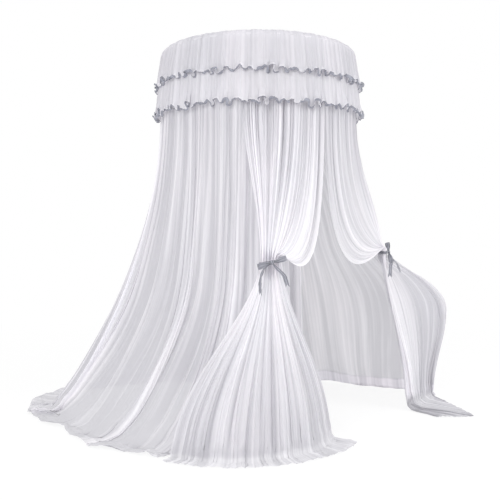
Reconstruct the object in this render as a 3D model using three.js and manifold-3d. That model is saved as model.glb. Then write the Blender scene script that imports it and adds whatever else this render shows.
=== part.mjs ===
import * as THREE from 'three';
import { mergeVertices } from 'three/addons/utils/BufferGeometryUtils.js';
import Module from 'manifold-3d';

// Round-hoop bed canopy that hangs from the ceiling by one swivel hook.
// Millimetres, +Z up. The origin is the centre of the ceiling plate's top face.
// The doorway faces -Y. Bearings are degrees round the hoop, 0 at the doorway, growing towards +X.

// Clearances shared by every fit
const seatGap = 0.3;
const swivelClearance = 0.3;
const cutOverrun = 2;

// Ceiling plate and its swivel
const plateRadius = 45;
const plateThickness = 4;
const plateEdgeRound = 1;
const ceilingHoleRadius = 2.6;
const ceilingHoleCircle = 37;
const ceilingHoleCount = 3;
const cupFlangeRadius = 28;
const cupFlangeThickness = 3;
const cupRadius = 15;
const cupDepth = 13;
const cupWall = 3.5;
const cupScrewCircle = 22;
const cupScrewRadius = 1.6;
const cupScrewHeadRadius = 3.2;
const cupScrewHeadHeight = 1.8;
const shankRadius = 4;
const shankHeadRadius = 9;
const shankHeadHeight = 3;
const shankLength = 10;
const hookWireRadius = 2.5;
const hookBendRadius = 9;
const hookSweepDegrees = 235;

// Crown hub, with an eye that hangs in the hook
const hubRadius = 36;
const hubThickness = 5;
const eyeWireRadius = 2.5;
const eyeBendRadius = 10;
const eyeSunkShare = 0.4;
const washerThickness = 3;
const hubScrewRadius = 3;
const hubScrewHeadRadius = 7;
const hubScrewHeadHeight = 3;

// Steel hoop in four arcs with joining sleeves
const hoopRadius = 550;
const hoopDrop = 150;
const hoopTubeRadius = 6;
const hoopTubeWall = 1;
const hoopSegmentCount = 4;
const sleeveWall = 1.7;
const sleeveHalfDegrees = 3;
const segmentEndGap = 0.6;
const tubeSides = 8;
const hoopStepDegrees = 10;

// Hanging tapes between hub and hoop
const tapeCount = 6;
const tapeWidth = 24;
const tapeThickness = 1.2;
const tapeInnerRadius = tapeWidth / 2 / Math.tan(Math.PI / tapeCount) + 2 * seatGap;

// Cloth
const clothThickness = 1.6;
const roofColumns = 48;
const collarDepth = 27;
const valanceGathers = 35;
const valanceHeadGather = 0.8;
const valanceHemGather = 5;
const upperValanceDepth = 185;
const upperValanceFlare = 32;
const lowerValanceHem = 493;
const lowerValanceFlare = 35;
const capInnerInset = 88;
const capTopInset = 45;
const capShoulderInset = 5;
const capTopPuff = 18.5;
const capShoulderPuff = 18.5;

// Ruffled trims, one low on each valance
const trimWaves = 50;
const trimSwing = 15;
const trimWidth = 15;
const trimThickness = 2.4;
const trimRise = 4;

// Curtains
const floorDrop = 2240;
const curtainHeadInset = 4.8;
const curtainHeadPleat = 1.6;
const curtainShoulderRadius = 562;
const curtainShoulderDrop = 500;
const hemReach = 1490;
const wallPleatDepth = 24;
const hemThickness = 1.6;
const seamGapDegrees = 0.25;
const trumpetPower = 1.85;
const sidePleats = 12;
const backPleats = 10;
const tiedPleats = 9;
const columnsPerPleat = 4;
const tailLeaveDrop = 280;
const tailLandRise = 350;
const trailingFall = 220;
const trailingArriveRise = 260;
const leadingOverBand = 30;
const leftLeadingFall = 780;
const leftLeadingSweep = 160;
const leftLeadingInset = 70;
const leftLeadingSag = 150;
const rightLeadingFall = 900;
const rightLeadingSweep = 260;
const rightLeadingInset = 270;
const rightLeadingSag = 175;

// Bearings of the seams and of the two ties
const leftSeamBearing = -60;
const doorwayBearing = -15;
const rightSeamBearing = 63;
const rearSeamBearing = -177;
const leftTieBearing = -47.2;
const rightTieBearing = 47.4;

// Ties
const bundleHalfWidth = 55;
const bundleHalfDepth = 32;
const leftTieReach = 753;
const leftTieDrop = 1294;
const rightTieReach = 760;
const rightTieDrop = 1276;
const bundleFillShare = 0.94;
const bandHeight = 24;
const bandThickness = 1.6;
const bandSides = 20;
const knotWidth = 24;
const knotHeight = 26;
const knotDepth = 15;
const bowLoopLength = 66;
const bowLoopDepth = 22;
const ribbonWidth = 24;
const ribbonThickness = 1.4;
const tailLength = 150;
const leftBowTilt = 15;
const rightBowTilt = 38;
const tailRows = [0, 0.2, 0.4, 0.6, 0.8, 1];

const wasm = await Module();
wasm.setup();

// Materials
const steel = new THREE.MeshStandardMaterial({ color: 0xb9bcc0, roughness: 0.35, metalness: 0.9 });
const whiteTube = new THREE.MeshStandardMaterial({ color: 0xe9eaec, roughness: 0.45, metalness: 0.2 });
const tulle = new THREE.MeshStandardMaterial({ color: 0xe9e8f0, roughness: 0.9, metalness: 0 });
const webbing = new THREE.MeshStandardMaterial({ color: 0xf1f0f2, roughness: 0.85, metalness: 0 });
const lace = new THREE.MeshStandardMaterial({ color: 0x9699ad, roughness: 0.7, metalness: 0 });

const canopy = new THREE.Group();

function addMesh(name, geometry, material, parent = canopy) {
  const mesh = new THREE.Mesh(geometry, material);
  mesh.name = name;
  parent.add(mesh);
  return mesh;
}

// Solids between three.js geometry and manifold
function toSolid(geometry) {
  const bare = geometry.clone();
  bare.deleteAttribute('normal');
  bare.deleteAttribute('uv');
  const merged = mergeVertices(bare, seatGap / 300);
  return new wasm.Manifold(new wasm.Mesh({
    numProp: 3,
    vertProperties: new Float32Array(merged.attributes.position.array),
    triVerts: new Uint32Array(merged.index.array),
  }));
}

function toGeometry(solid) {
  const mesh = solid.getMesh();
  const geometry = new THREE.BufferGeometry();
  geometry.setAttribute('position', new THREE.BufferAttribute(new Float32Array(mesh.vertProperties), 3));
  geometry.setIndex(new THREE.BufferAttribute(new Uint32Array(mesh.triVerts), 1));
  return geometry;
}

// Small vector and bearing helpers
const degrees = THREE.MathUtils.degToRad;
const mix = THREE.MathUtils.lerp;
const smooth = THREE.MathUtils.smoothstep;

function polar(bearing, radius, z) {
  const angle = degrees(bearing);
  return new THREE.Vector3(radius * Math.sin(angle), -radius * Math.cos(angle), z);
}

function cubic(a, b, c, d, t) {
  const s = 1 - t;
  return new THREE.Vector3()
    .addScaledVector(a, s * s * s)
    .addScaledVector(b, 3 * s * s * t)
    .addScaledVector(c, 3 * s * t * t)
    .addScaledVector(d, t * t * t);
}

// Reads a hand-set table of [bearing, share] rows with an eased slope between them
function readShares(rows, bearing) {
  if (bearing <= rows[0][0]) return rows[0][1];
  for (let i = 1; i < rows.length; i += 1) {
    const [to, share] = rows[i];
    const [from, before] = rows[i - 1];
    if (bearing <= to) return mix(before, share, smooth(bearing, from, to));
  }
  return rows[rows.length - 1][1];
}

// The same kind of table read with straight slopes rounded at the rows
function readSmooth(rows, at) {
  let i = 1;
  while (i < rows.length - 1 && at > rows[i][0]) i += 1;
  const [beforeAt, before] = rows[Math.max(i - 2, 0)];
  const [fromAt, from] = rows[i - 1];
  const [toAt, to] = rows[i];
  const [afterAt, after] = rows[Math.min(i + 1, rows.length - 1)];
  const gap = toAt - fromAt;
  const t = THREE.MathUtils.clamp((at - fromAt) / gap, 0, 1);
  const slopeIn = ((to - before) * gap) / (toAt - beforeAt);
  const slopeOut = ((after - from) * gap) / (afterAt - fromAt);
  return from + slopeIn * t + (3 * (to - from) - 2 * slopeIn - slopeOut) * t * t
    + (2 * (from - to) + slopeIn + slopeOut) * t * t * t;
}

// A sheet of cloth as one closed solid. centre(u, v) is the mid surface; columnCount and the list of
// v values give its grid, and wraps joins the last column to the first. A layer is a second sheet sewn
// over part of the same grid: it starts at firstRow and stands off by offset.
function clothSolid(centre, columnCount, rowValues, thickness, { wraps = false, offset = 0, firstRow = 0 } = {}) {
  const columns = wraps ? columnCount : columnCount + 1;
  const gridRows = rowValues.length;
  const rows = gridRows - firstRow;
  const grid = [];
  for (let j = 0; j < gridRows; j += 1) {
    for (let i = 0; i < columns; i += 1) grid.push(centre(i / columnCount, rowValues[j]));
  }
  const at = (i, j) => {
    const column = wraps ? (i + columns) % columns : THREE.MathUtils.clamp(i, 0, columns - 1);
    return grid[THREE.MathUtils.clamp(j, 0, gridRows - 1) * columns + column];
  };
  const positions = [];
  for (const side of [0.5, -0.5]) {
    for (let j = firstRow; j < gridRows; j += 1) {
      for (let i = 0; i < columns; i += 1) {
        const across = new THREE.Vector3().subVectors(at(i + 1, j), at(i - 1, j));
        const down = new THREE.Vector3().subVectors(at(i, j + 1), at(i, j - 1));
        const normal = across.cross(down).normalize().negate();
        const point = at(i, j).clone().addScaledVector(normal, offset + side * thickness);
        positions.push(point.x, point.y, point.z);
      }
    }
  }
  const faces = [];
  const back = rows * columns;
  const quad = (a, b, c, d) => faces.push(a, b, c, a, c, d);
  const spans = wraps ? columns : columns - 1;
  for (let i = 0; i < spans; i += 1) {
    const next = (i + 1) % columns;
    for (let j = 0; j < rows - 1; j += 1) {
      const a = j * columns + i;
      const b = j * columns + next;
      const c = b + columns;
      const d = a + columns;
      quad(a, d, c, b);
      quad(back + a, back + b, back + c, back + d);
    }
    const last = (rows - 1) * columns;
    quad(i, next, back + next, back + i);
    quad(last + next, last + i, back + last + i, back + last + next);
  }
  if (!wraps) {
    for (let j = 0; j < rows - 1; j += 1) {
      const a = j * columns;
      const d = a + columns;
      quad(d, a, back + a, back + d);
      quad(a + columns - 1, d + columns - 1, back + d + columns - 1, back + a + columns - 1);
    }
  }
  const geometry = new THREE.BufferGeometry();
  geometry.setAttribute('position', new THREE.Float32BufferAttribute(positions, 3));
  geometry.setIndex(faces);
  return geometry;
}

// A length of round tube bent to the hoop: rings of an outer and an inner polygon at each bearing
function bentTube(bearings, outerRadius, innerRadius) {
  const positions = [];
  for (const bearing of bearings) {
    for (const radius of [outerRadius, innerRadius]) {
      for (let k = 0; k < tubeSides; k += 1) {
        const turn = (k / tubeSides) * 2 * Math.PI;
        const point = polar(bearing, hoopRadius + radius * Math.cos(turn), radius * Math.sin(turn) - hoopDrop);
        positions.push(point.x, point.y, point.z);
      }
    }
  }
  const faces = [];
  const quad = (a, b, c, d) => faces.push(a, c, b, a, d, c);
  const ring = 2 * tubeSides;
  const last = (bearings.length - 1) * ring;
  for (let k = 0; k < tubeSides; k += 1) {
    const next = (k + 1) % tubeSides;
    for (let i = 0; i < bearings.length - 1; i += 1) {
      const near = i * ring;
      const far = near + ring;
      quad(near + k, near + next, far + next, far + k);
      quad(near + tubeSides + next, near + tubeSides + k, far + tubeSides + k, far + tubeSides + next);
    }
    quad(next, k, tubeSides + k, tubeSides + next);
    quad(last + k, last + next, last + tubeSides + next, last + tubeSides + k);
  }
  const geometry = new THREE.BufferGeometry();
  geometry.setAttribute('position', new THREE.Float32BufferAttribute(positions, 3));
  geometry.setIndex(faces);
  return geometry;
}

// Turned pieces: profile points are [radius, z] and the lathe axis is +Z
function turned(profile, segments) {
  const geometry = new THREE.LatheGeometry(profile.map(([r, z]) => new THREE.Vector2(r, z)), segments);
  geometry.rotateX(Math.PI / 2);
  return geometry;
}

function verticalCylinder(radius, top, bottom, segments) {
  const geometry = new THREE.CylinderGeometry(radius, radius, top - bottom, segments);
  geometry.rotateX(Math.PI / 2);
  geometry.translate(0, 0, (top + bottom) / 2);
  return geometry;
}

function roundRod(curve, radius, steps, sides) {
  const section = new THREE.Shape();
  section.absarc(0, 0, radius, 0, 2 * Math.PI, false);
  return new THREE.ExtrudeGeometry(section, {
    steps,
    curveSegments: sides,
    bevelEnabled: false,
    extrudePath: curve,
  });
}

// Ceiling plate: a flat disc with three holes for the ceiling's own screws
const cupTop = -plateThickness - seatGap;
const cupFlangeBottom = cupTop - cupFlangeThickness;
const cupBottom = cupTop - cupDepth;
const pocketTop = cupTop;
const pocketFloor = cupBottom + cupWall;

function drill(solid, circle, radius, count, offsetDegrees, top, bottom) {
  let drilled = solid;
  for (let i = 0; i < count; i += 1) {
    const hole = verticalCylinder(radius, top, bottom, 8);
    const place = polar(offsetDegrees + (360 * i) / count, circle, 0);
    hole.translate(place.x, place.y, 0);
    drilled = drilled.subtract(toSolid(hole));
  }
  return drilled;
}

function makeCeilingPlate() {
  const blank = turned([
    [0, -plateThickness],
    [plateRadius - plateEdgeRound, -plateThickness],
    [plateRadius, -plateThickness + plateEdgeRound],
    [plateRadius, 0],
    [0, 0],
  ], 24);
  const withCeilingHoles = drill(toSolid(blank), ceilingHoleCircle, ceilingHoleRadius, ceilingHoleCount, 60,
    cutOverrun, -plateThickness - cutOverrun);
  return drill(withCeilingHoles, cupScrewCircle, cupScrewRadius + seatGap, ceilingHoleCount, 0,
    -plateThickness / 4, -plateThickness - cutOverrun);
}

// Swivel cup: a flanged cup that traps the head of the hook's shank
function makeSwivelCup() {
  const boreRadius = shankRadius + swivelClearance;
  const pocketRadius = shankHeadRadius + swivelClearance;
  const blank = turned([
    [boreRadius, cupBottom],
    [cupRadius - plateEdgeRound, cupBottom],
    [cupRadius, cupBottom + plateEdgeRound],
    [cupRadius, cupFlangeBottom],
    [cupFlangeRadius, cupFlangeBottom],
    [cupFlangeRadius, cupTop],
    [pocketRadius, pocketTop],
    [pocketRadius, pocketFloor],
    [boreRadius, pocketFloor],
    [boreRadius, cupBottom],
  ], 20);
  return drill(toSolid(blank), cupScrewCircle, cupScrewRadius + seatGap, ceilingHoleCount, 0,
    cupTop + cutOverrun, cupFlangeBottom - cutOverrun);
}

addMesh('ceiling_plate', toGeometry(makeCeilingPlate()), steel);
addMesh('swivel_cup', toGeometry(makeSwivelCup()), steel);

// Three short screws hold the cup to the plate
function makeCupScrew() {
  const headTop = cupFlangeBottom - seatGap;
  return turned([
    [0, headTop - cupScrewHeadHeight],
    [cupScrewHeadRadius * 0.8, headTop - cupScrewHeadHeight],
    [cupScrewHeadRadius, headTop - cupScrewHeadHeight / 2],
    [cupScrewHeadRadius, headTop],
    [cupScrewRadius, headTop],
    [cupScrewRadius, -plateThickness / 4 - seatGap],
    [0, -plateThickness / 4 - seatGap],
  ], 8);
}

for (let i = 0; i < ceilingHoleCount; i += 1) {
  const place = polar((360 * i) / ceilingHoleCount, cupScrewCircle, 0);
  addMesh(`cup_screw_${i + 1}`, makeCupScrew(), steel).position.set(place.x, place.y, 0);
}

// Swivel hook: a headed shank that turns in the cup, with a bent hook below
const shankBottom = cupBottom - shankLength;
const hookCentreZ = shankBottom - hookBendRadius;

class HookCurve extends THREE.Curve {
  getPoint(t, target = new THREE.Vector3()) {
    const turn = degrees(90 - hookSweepDegrees * t);
    const across = hookBendRadius * Math.cos(turn);
    return target.set(across, 0, hookCentreZ + hookBendRadius * Math.sin(turn));
  }
}

function makeSwivelHook() {
  const shank = turned([
    [0, shankBottom - hookWireRadius],
    [shankRadius * 0.8, shankBottom - hookWireRadius],
    [shankRadius, shankBottom],
    [shankRadius, pocketFloor + seatGap],
    [shankHeadRadius, pocketFloor + seatGap],
    [shankHeadRadius, pocketFloor + seatGap + shankHeadHeight],
    [0, pocketFloor + seatGap + shankHeadHeight],
  ], 16);
  const bend = roundRod(new HookCurve(), hookWireRadius, 16, 4);
  return toSolid(shank).add(toSolid(bend));
}

addMesh('swivel_hook', toGeometry(makeSwivelHook()), steel);

// Crown hub: a disc with an eye that rests in the bottom of the hook
const hookInsideBottom = hookCentreZ - hookBendRadius + hookWireRadius;
const eyeTopCentre = hookInsideBottom + seatGap + eyeWireRadius;
const eyeCentreZ = eyeTopCentre - eyeBendRadius;
const hubTop = eyeCentreZ - eyeBendRadius + eyeWireRadius * (1 - 2 * eyeSunkShare);
const hubBottom = hubTop - hubThickness;

function makeCrownHub() {
  const disc = turned([
    [hubScrewRadius + seatGap, hubBottom],
    [hubRadius, hubBottom],
    [hubRadius, hubTop - plateEdgeRound],
    [hubRadius - plateEdgeRound, hubTop],
    [hubScrewRadius + seatGap, hubTop],
    [hubScrewRadius + seatGap, hubBottom],
  ], 24);
  const eye = new THREE.TorusGeometry(eyeBendRadius, eyeWireRadius, 8, 16);
  eye.rotateX(Math.PI / 2);
  eye.rotateZ(Math.PI / 2);
  eye.translate(0, 0, eyeCentreZ);
  const screwRoom = verticalCylinder(hubScrewRadius + seatGap, hubTop - seatGap, hubBottom - cutOverrun, 12);
  return toSolid(disc).add(toSolid(eye)).subtract(toSolid(screwRoom));
}

addMesh('crown_hub', toGeometry(makeCrownHub()), steel);

// Under the hub lie the roof cloth, then the tapes, then the washer, and one screw clamps them
const roofCentreZ = hubBottom - seatGap - clothThickness / 2;
const tapeTop = roofCentreZ - clothThickness / 2 - seatGap;
const tapeBottom = tapeTop - tapeThickness;
const washerTop = tapeBottom - seatGap;
const washerBottom = washerTop - washerThickness;

function makeHubWasher() {
  return turned([
    [hubScrewRadius + seatGap, washerBottom],
    [hubRadius - plateEdgeRound, washerBottom],
    [hubRadius, washerBottom + plateEdgeRound],
    [hubRadius, washerTop],
    [hubScrewRadius + seatGap, washerTop],
    [hubScrewRadius + seatGap, washerBottom],
  ], 20);
}

function makeHubScrew() {
  const headTop = washerBottom - seatGap;
  return turned([
    [0, headTop - hubScrewHeadHeight],
    [hubScrewHeadRadius * 0.7, headTop - hubScrewHeadHeight],
    [hubScrewHeadRadius, headTop - hubScrewHeadHeight / 2],
    [hubScrewHeadRadius, headTop],
    [hubScrewRadius, headTop],
    [hubScrewRadius, hubTop - 2 * seatGap],
    [0, hubTop - 2 * seatGap],
  ], 12);
}

addMesh('hub_washer', makeHubWasher(), steel);
addMesh('hub_screw', makeHubScrew(), steel);

// Hoop: four bent tubes pushed into four sleeves
const sleeveInnerRadius = hoopTubeRadius + seatGap;
const sleeveOuterRadius = sleeveInnerRadius + sleeveWall;
const segmentSpan = 360 / hoopSegmentCount;

const firstJointBearing = 45;
const firstTapeBearing = 30;
const tapeHalfDegrees = THREE.MathUtils.radToDeg(tapeWidth / 2 / hoopRadius) * 1.2;

// Bearings of one arc's rings: close together at its sleeves and under the tapes, wider between
function segmentBearings(start) {
  const end = start + segmentSpan;
  const endGapDegrees = THREE.MathUtils.radToDeg(segmentEndGap / 2 / hoopRadius);
  const marks = [start + endGapDegrees, start + sleeveHalfDegrees];
  for (let i = 0; i < 2 * tapeCount; i += 1) {
    const bearing = firstTapeBearing + (360 * i) / tapeCount;
    if (bearing > start && bearing < end) marks.push(bearing - tapeHalfDegrees, bearing + tapeHalfDegrees);
  }
  marks.push(end - sleeveHalfDegrees, end - endGapDegrees);
  const bearings = [marks[0]];
  for (let i = 1; i < marks.length; i += 1) {
    const steps = Math.ceil((marks[i] - marks[i - 1]) / hoopStepDegrees);
    for (let k = 1; k <= steps; k += 1) bearings.push(mix(marks[i - 1], marks[i], k / steps));
  }
  return bearings;
}

for (let i = 0; i < hoopSegmentCount; i += 1) {
  const start = firstJointBearing + segmentSpan * i;
  addMesh(`hoop_segment_${i + 1}`, bentTube(segmentBearings(start), hoopTubeRadius,
    hoopTubeRadius - hoopTubeWall), whiteTube);
  const sleeveBearings = [start - sleeveHalfDegrees, start, start + sleeveHalfDegrees];
  addMesh(`hoop_sleeve_${i + 1}`, bentTube(sleeveBearings, sleeveOuterRadius, sleeveInnerRadius), whiteTube);
}

// Hanging tapes: each runs from the hub to the hoop and is sewn in a loop round the tube
function makeTape() {
  const loopInner = hoopTubeRadius + seatGap;
  const loopOuter = loopInner + tapeThickness;
  const leave = degrees(80);
  const outline = new THREE.Shape();
  outline.moveTo(tapeInnerRadius, tapeTop);
  outline.lineTo(hubRadius, tapeTop);
  outline.absarc(hoopRadius, -hoopDrop, loopOuter, leave, leave - degrees(330), true);
  outline.lineTo(hubRadius, tapeBottom);
  outline.lineTo(tapeInnerRadius, tapeBottom);
  outline.closePath();
  const tubeRoom = new THREE.Path();
  tubeRoom.absarc(hoopRadius, -hoopDrop, loopInner, 0, 2 * Math.PI, false);
  outline.holes.push(tubeRoom);
  const geometry = new THREE.ExtrudeGeometry(outline, {
    depth: tapeWidth,
    curveSegments: 8,
    steps: 1,
    bevelEnabled: false,
  });
  geometry.translate(0, 0, -tapeWidth / 2);
  geometry.rotateX(Math.PI / 2);
  return geometry;
}

for (let i = 0; i < tapeCount; i += 1) {
  const tape = addMesh(`hanging_tape_${i + 1}`, makeTape(), webbing);
  tape.rotation.z = degrees(firstTapeBearing - 90 + (360 * i) / tapeCount);
}

// Roof: a shallow cone of cloth from the hub over the hoop, ending in a collar round its outside
const roofChord = 1 / Math.cos(Math.PI / roofColumns);
const rimWrap = sleeveOuterRadius + seatGap + clothThickness / 2;
const rimCorner = rimWrap * Math.tan(Math.PI / 8);
const collarRadius = (hoopRadius + rimWrap) * roofChord;
const rimTop = -hoopDrop + rimWrap;
const collarBottom = -hoopDrop - collarDepth;
const roofProfile = [
  [hubScrewRadius * 2, roofCentreZ],
  [hubRadius, roofCentreZ],
  [hoopRadius - rimCorner, rimTop],
  [(hoopRadius + rimCorner) * roofChord, rimTop],
  [collarRadius, -hoopDrop + rimCorner],
  [collarRadius, collarBottom],
];

function roofSurface(u, v) {
  const [radius, z] = roofProfile[v];
  return polar(360 * u, radius, z);
}

addMesh('roof_panel', clothSolid(roofSurface, roofColumns, roofProfile.map((point, index) => index),
  clothThickness, { wraps: true }), tulle);

// Valances: two gathered tiers, the upper one over the lower one
const valanceHeadRadius = collarRadius + clothThickness + valanceHeadGather + 2 * seatGap;
const upperValanceHead = -hoopDrop + sleeveOuterRadius / 2;
const upperValanceHem = upperValanceHead - upperValanceDepth;
const lowerValanceHead = collarBottom - seatGap;
const lowerHeadRadius = collarRadius;

// The radius of a tier's mid surface at share v of its depth, apart from its gathers
const tierRadius = (tier, v) => tier.headRadius + tier.flare * v;
const tierGather = (v) => mix(valanceHeadGather, valanceHemGather, v);
const upperTier = {
  headRadius: valanceHeadRadius,
  flare: upperValanceFlare,
  head: upperValanceHead,
  hem: upperValanceHem,
};
const lowerTier = {
  headRadius: lowerHeadRadius,
  flare: lowerValanceFlare,
  head: lowerValanceHead,
  hem: -lowerValanceHem,
};

// The upper tier starts on the roof and puffs up over the hoop before it falls
function overRoof(inset, puff) {
  const radius = hoopRadius - inset;
  const share = (radius - hubRadius) / (hoopRadius - rimCorner - hubRadius);
  return [radius, mix(roofCentreZ, rimTop, share) + puff];
}

const puffedCap = [
  overRoof(capInnerInset, clothThickness + 2 * seatGap),
  overRoof(capTopInset, capTopPuff),
  overRoof(capShoulderInset, capShoulderPuff),
];

function makeValance(tier, cap = []) {
  const tierLine = [0, 0.5, 1].map((v) => [tierRadius(tier, v), mix(tier.head, tier.hem, v), tierGather(v)]);
  const line = [...cap.map((point) => [...point, valanceHeadGather]), ...tierLine];
  const surface = (u, row) => {
    const [radius, z, gather] = line[row];
    return polar(360 * u, radius + gather * Math.cos(2 * Math.PI * valanceGathers * u), z);
  };
  return clothSolid(surface, 2 * valanceGathers, line.map((row, index) => index), clothThickness, { wraps: true });
}

addMesh('upper_valance', makeValance(upperTier, puffedCap), tulle);
addMesh('lower_valance', makeValance(lowerTier), tulle);

// Trims: a narrow ribbon that swings up and down on the outside of each valance, near its hem
const trimStandOff = (clothThickness + trimThickness) / 2 + 3 * seatGap;

function makeTrim(tier) {
  const surface = (u, v) => {
    const swing = trimSwing * Math.cos(2 * Math.PI * trimWaves * u);
    const z = tier.hem + trimRise + swing + trimWidth * (0.5 - v);
    const down = (tier.head - z) / (tier.head - tier.hem);
    return polar(360 * u, tierRadius(tier, down) + tierGather(down) + trimStandOff, z);
  };
  return clothSolid(surface, 2 * trimWaves, [0, 1], trimThickness, { wraps: true });
}

addMesh('upper_trim', makeTrim(upperTier), lace);
addMesh('lower_trim', makeTrim(lowerTier), lace);

// Curtains: four gathered panels that hang under the hoop inside the collar. Lengths of a column of
// cloth run down from the head to the floor and then out along it.
const headRadius = hoopRadius + curtainHeadInset;
const headZ = -hoopDrop - sleeveOuterRadius - seatGap;
const floorZ = -floorDrop + clothThickness / 2;
const shoulderZ = -curtainShoulderDrop;

// How far out the cloth meets the floor, and how far out its hem lies, as shares of the longest reach
const standShares = [
  [-297, 0.74], [-289, 0.75], [-259, 0.67], [-242, 0.63], [-210, 0.62], [-202, 0.64], [-187, 0.74],
  [-170, 0.87], [-157, 0.9], [-145, 0.85], [-136, 0.78], [-114, 0.66], [-94, 0.6], [-86, 0.585],
  [-77, 0.545], [-60, 0.53],
];
const hemShares = [
  [-297, 0.79], [-289, 0.8], [-259, 0.69], [-242, 0.645], [-210, 0.635], [-202, 0.67], [-187, 0.81],
  [-170, 0.965], [-157, 1], [-145, 0.93], [-136, 0.84], [-125, 0.725], [-114, 0.705], [-106, 0.69],
  [-94, 0.63], [-86, 0.61], [-77, 0.575], [-60, 0.56],
];

// One point of a free-hanging column: v is 0 at the head, 1 at the shoulder, 2 at the floor, 3 at the hem
function hangingPoint(bearing, v) {
  const stand = hemReach * readShares(standShares, bearing);
  const hem = hemReach * readShares(hemShares, bearing);
  if (v <= 1) return polar(bearing, mix(headRadius, curtainShoulderRadius, v), mix(headZ, shoulderZ, v));
  if (v <= 2) {
    const fall = v - 1;
    const radius = mix(curtainShoulderRadius, stand, fall ** trumpetPower);
    return polar(bearing, radius, mix(shoulderZ, floorZ, fall));
  }
  return polar(bearing, mix(stand, hem, v - 2), floorZ);
}

// The columns of a curtain are pushed in and out by its pleats. direction(u, v) is the way they push.
// At the floor they only rise.
const up = new THREE.Vector3(0, 0, 1);

function pleated(base, direction, pleatCount, depthAt, floorRow) {
  return (u, v) => {
    const wave = Math.cos(2 * Math.PI * pleatCount * u);
    const lift = smooth(v, floorRow - 0.15, floorRow);
    const push = direction(u, v).lerp(up, lift).normalize();
    return base(u, v).addScaledVector(push, depthAt(u, v) * (wave + lift));
  };
}

// Free-hanging curtains: the pleats deepen on the way down and die out at the two free edges
const poolPleatShare = 0.3;

function wallPleatDepthAt(u, v) {
  if (v <= 1) return mix(curtainHeadPleat, wallPleatDepth / 4, v);
  const edge = mix(0.25, 1, smooth(u, 0, 0.06) * smooth(1 - u, 0, 0.06));
  const growth = mix(0.25, 1, smooth(v, 1, 1.8));
  const onFloor = mix(1, poolPleatShare, smooth(v, 1.85, 2));
  return wallPleatDepth * growth * edge * onFloor;
}

function wallPanel(fromBearing, toBearing, pleatCount, drawnAt = hangingPoint) {
  const bearingAt = (u) => mix(fromBearing, toBearing, u);
  const base = (u, v) => drawnAt(bearingAt(u), v, u);
  const direction = (u) => polar(bearingAt(u), 1, 0);
  return pleated(base, direction, pleatCount, wallPleatDepthAt, 2);
}

const seamHalf = seamGapDegrees / 2;
const sideRows = [0, 1, 1.3, 1.55, 1.75, 1.9, 2, 3];
const sideCurtain = wallPanel(rearSeamBearing + seamHalf, leftSeamBearing - seamHalf, sidePleats);
addMesh('side_curtain', clothSolid(sideCurtain, sidePleats * columnsPerPleat, sideRows, clothThickness), tulle);

// Beside the right tie the seam is drawn outwards and bulges below it: rows of [drop, bearing, reach],
// drops and reaches as shares of the floor drop and of the hem reach
const drawnSeamShares = [
  [0.22, 63, 0.383], [0.4, 62, 0.42], [0.5, 59, 0.48], [0.575, 55.5, 0.55], [0.605, 55.7, 0.635],
  [0.64, 56.1, 0.74], [0.675, 56.5, 0.81], [0.715, 56.9, 0.847], [0.76, 57.2, 0.852], [0.82, 57.6, 0.84],
  [0.9, 59, 0.815], [1, 61, 0.8],
];

const seamLapDegrees = 2;

function drawnSeam(z, aheadDegrees = 0) {
  const drop = THREE.MathUtils.clamp(-z / floorDrop, 0, 1);
  const bearing = readSmooth(drawnSeamShares.map((row) => [row[0], row[1]]), drop);
  const reach = readSmooth(drawnSeamShares.map((row) => [row[0], row[2]]), drop);
  return polar(bearing - aheadDegrees, reach * hemReach, z);
}

const seamPullShare = 0.38;

// The back curtain's edge follows the drawn seam, and the cloth on the floor moves with its foot
function drawnBackPoint(bearing, v, u) {
  const point = hangingPoint(bearing, v);
  const foot = hangingPoint(bearing, Math.min(v, 2));
  const pull = (1 - smooth(u, 0, seamPullShare)) * smooth(shoulderZ - foot.z, 0, curtainShoulderDrop);
  return point.addScaledVector(drawnSeam(foot.z).sub(foot), pull);
}

const backRows = [0, 1, 1.25, 1.446, 1.53, 1.63, 1.8, 1.96, 2, 3];
const hemBandRow = 7;
const backCurtain = wallPanel(rightSeamBearing - 360 + seamHalf, rearSeamBearing - seamHalf, backPleats, drawnBackPoint);
addMesh('back_curtain', clothSolid(backCurtain, backPleats * columnsPerPleat, backRows, clothThickness), tulle);
addMesh('back_hem', clothSolid(backCurtain, backPleats * columnsPerPleat, backRows, hemThickness,
  { offset: (clothThickness + hemThickness) / 2 + 2 * seatGap, firstRow: hemBandRow }), tulle);

// Tied panels: each column falls to the shoulder, is drawn in to the tie, passes straight through the
// band and spreads again. v is 0 head, 1 shoulder, 2 band top, 3 band bottom, 4 floor, 5 hem.
const bandPassHalf = bandHeight / 2 + 4 * seatGap;
const tiedRows = [0, 1, 1.35, 1.7, 1.9, 2, 3, 3.12, 3.4, 3.75, 4, 5];

function bearingPair(bearing) {
  return { outward: polar(bearing, 1, 0), along: polar(bearing + 90, 1, 0) };
}

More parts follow.
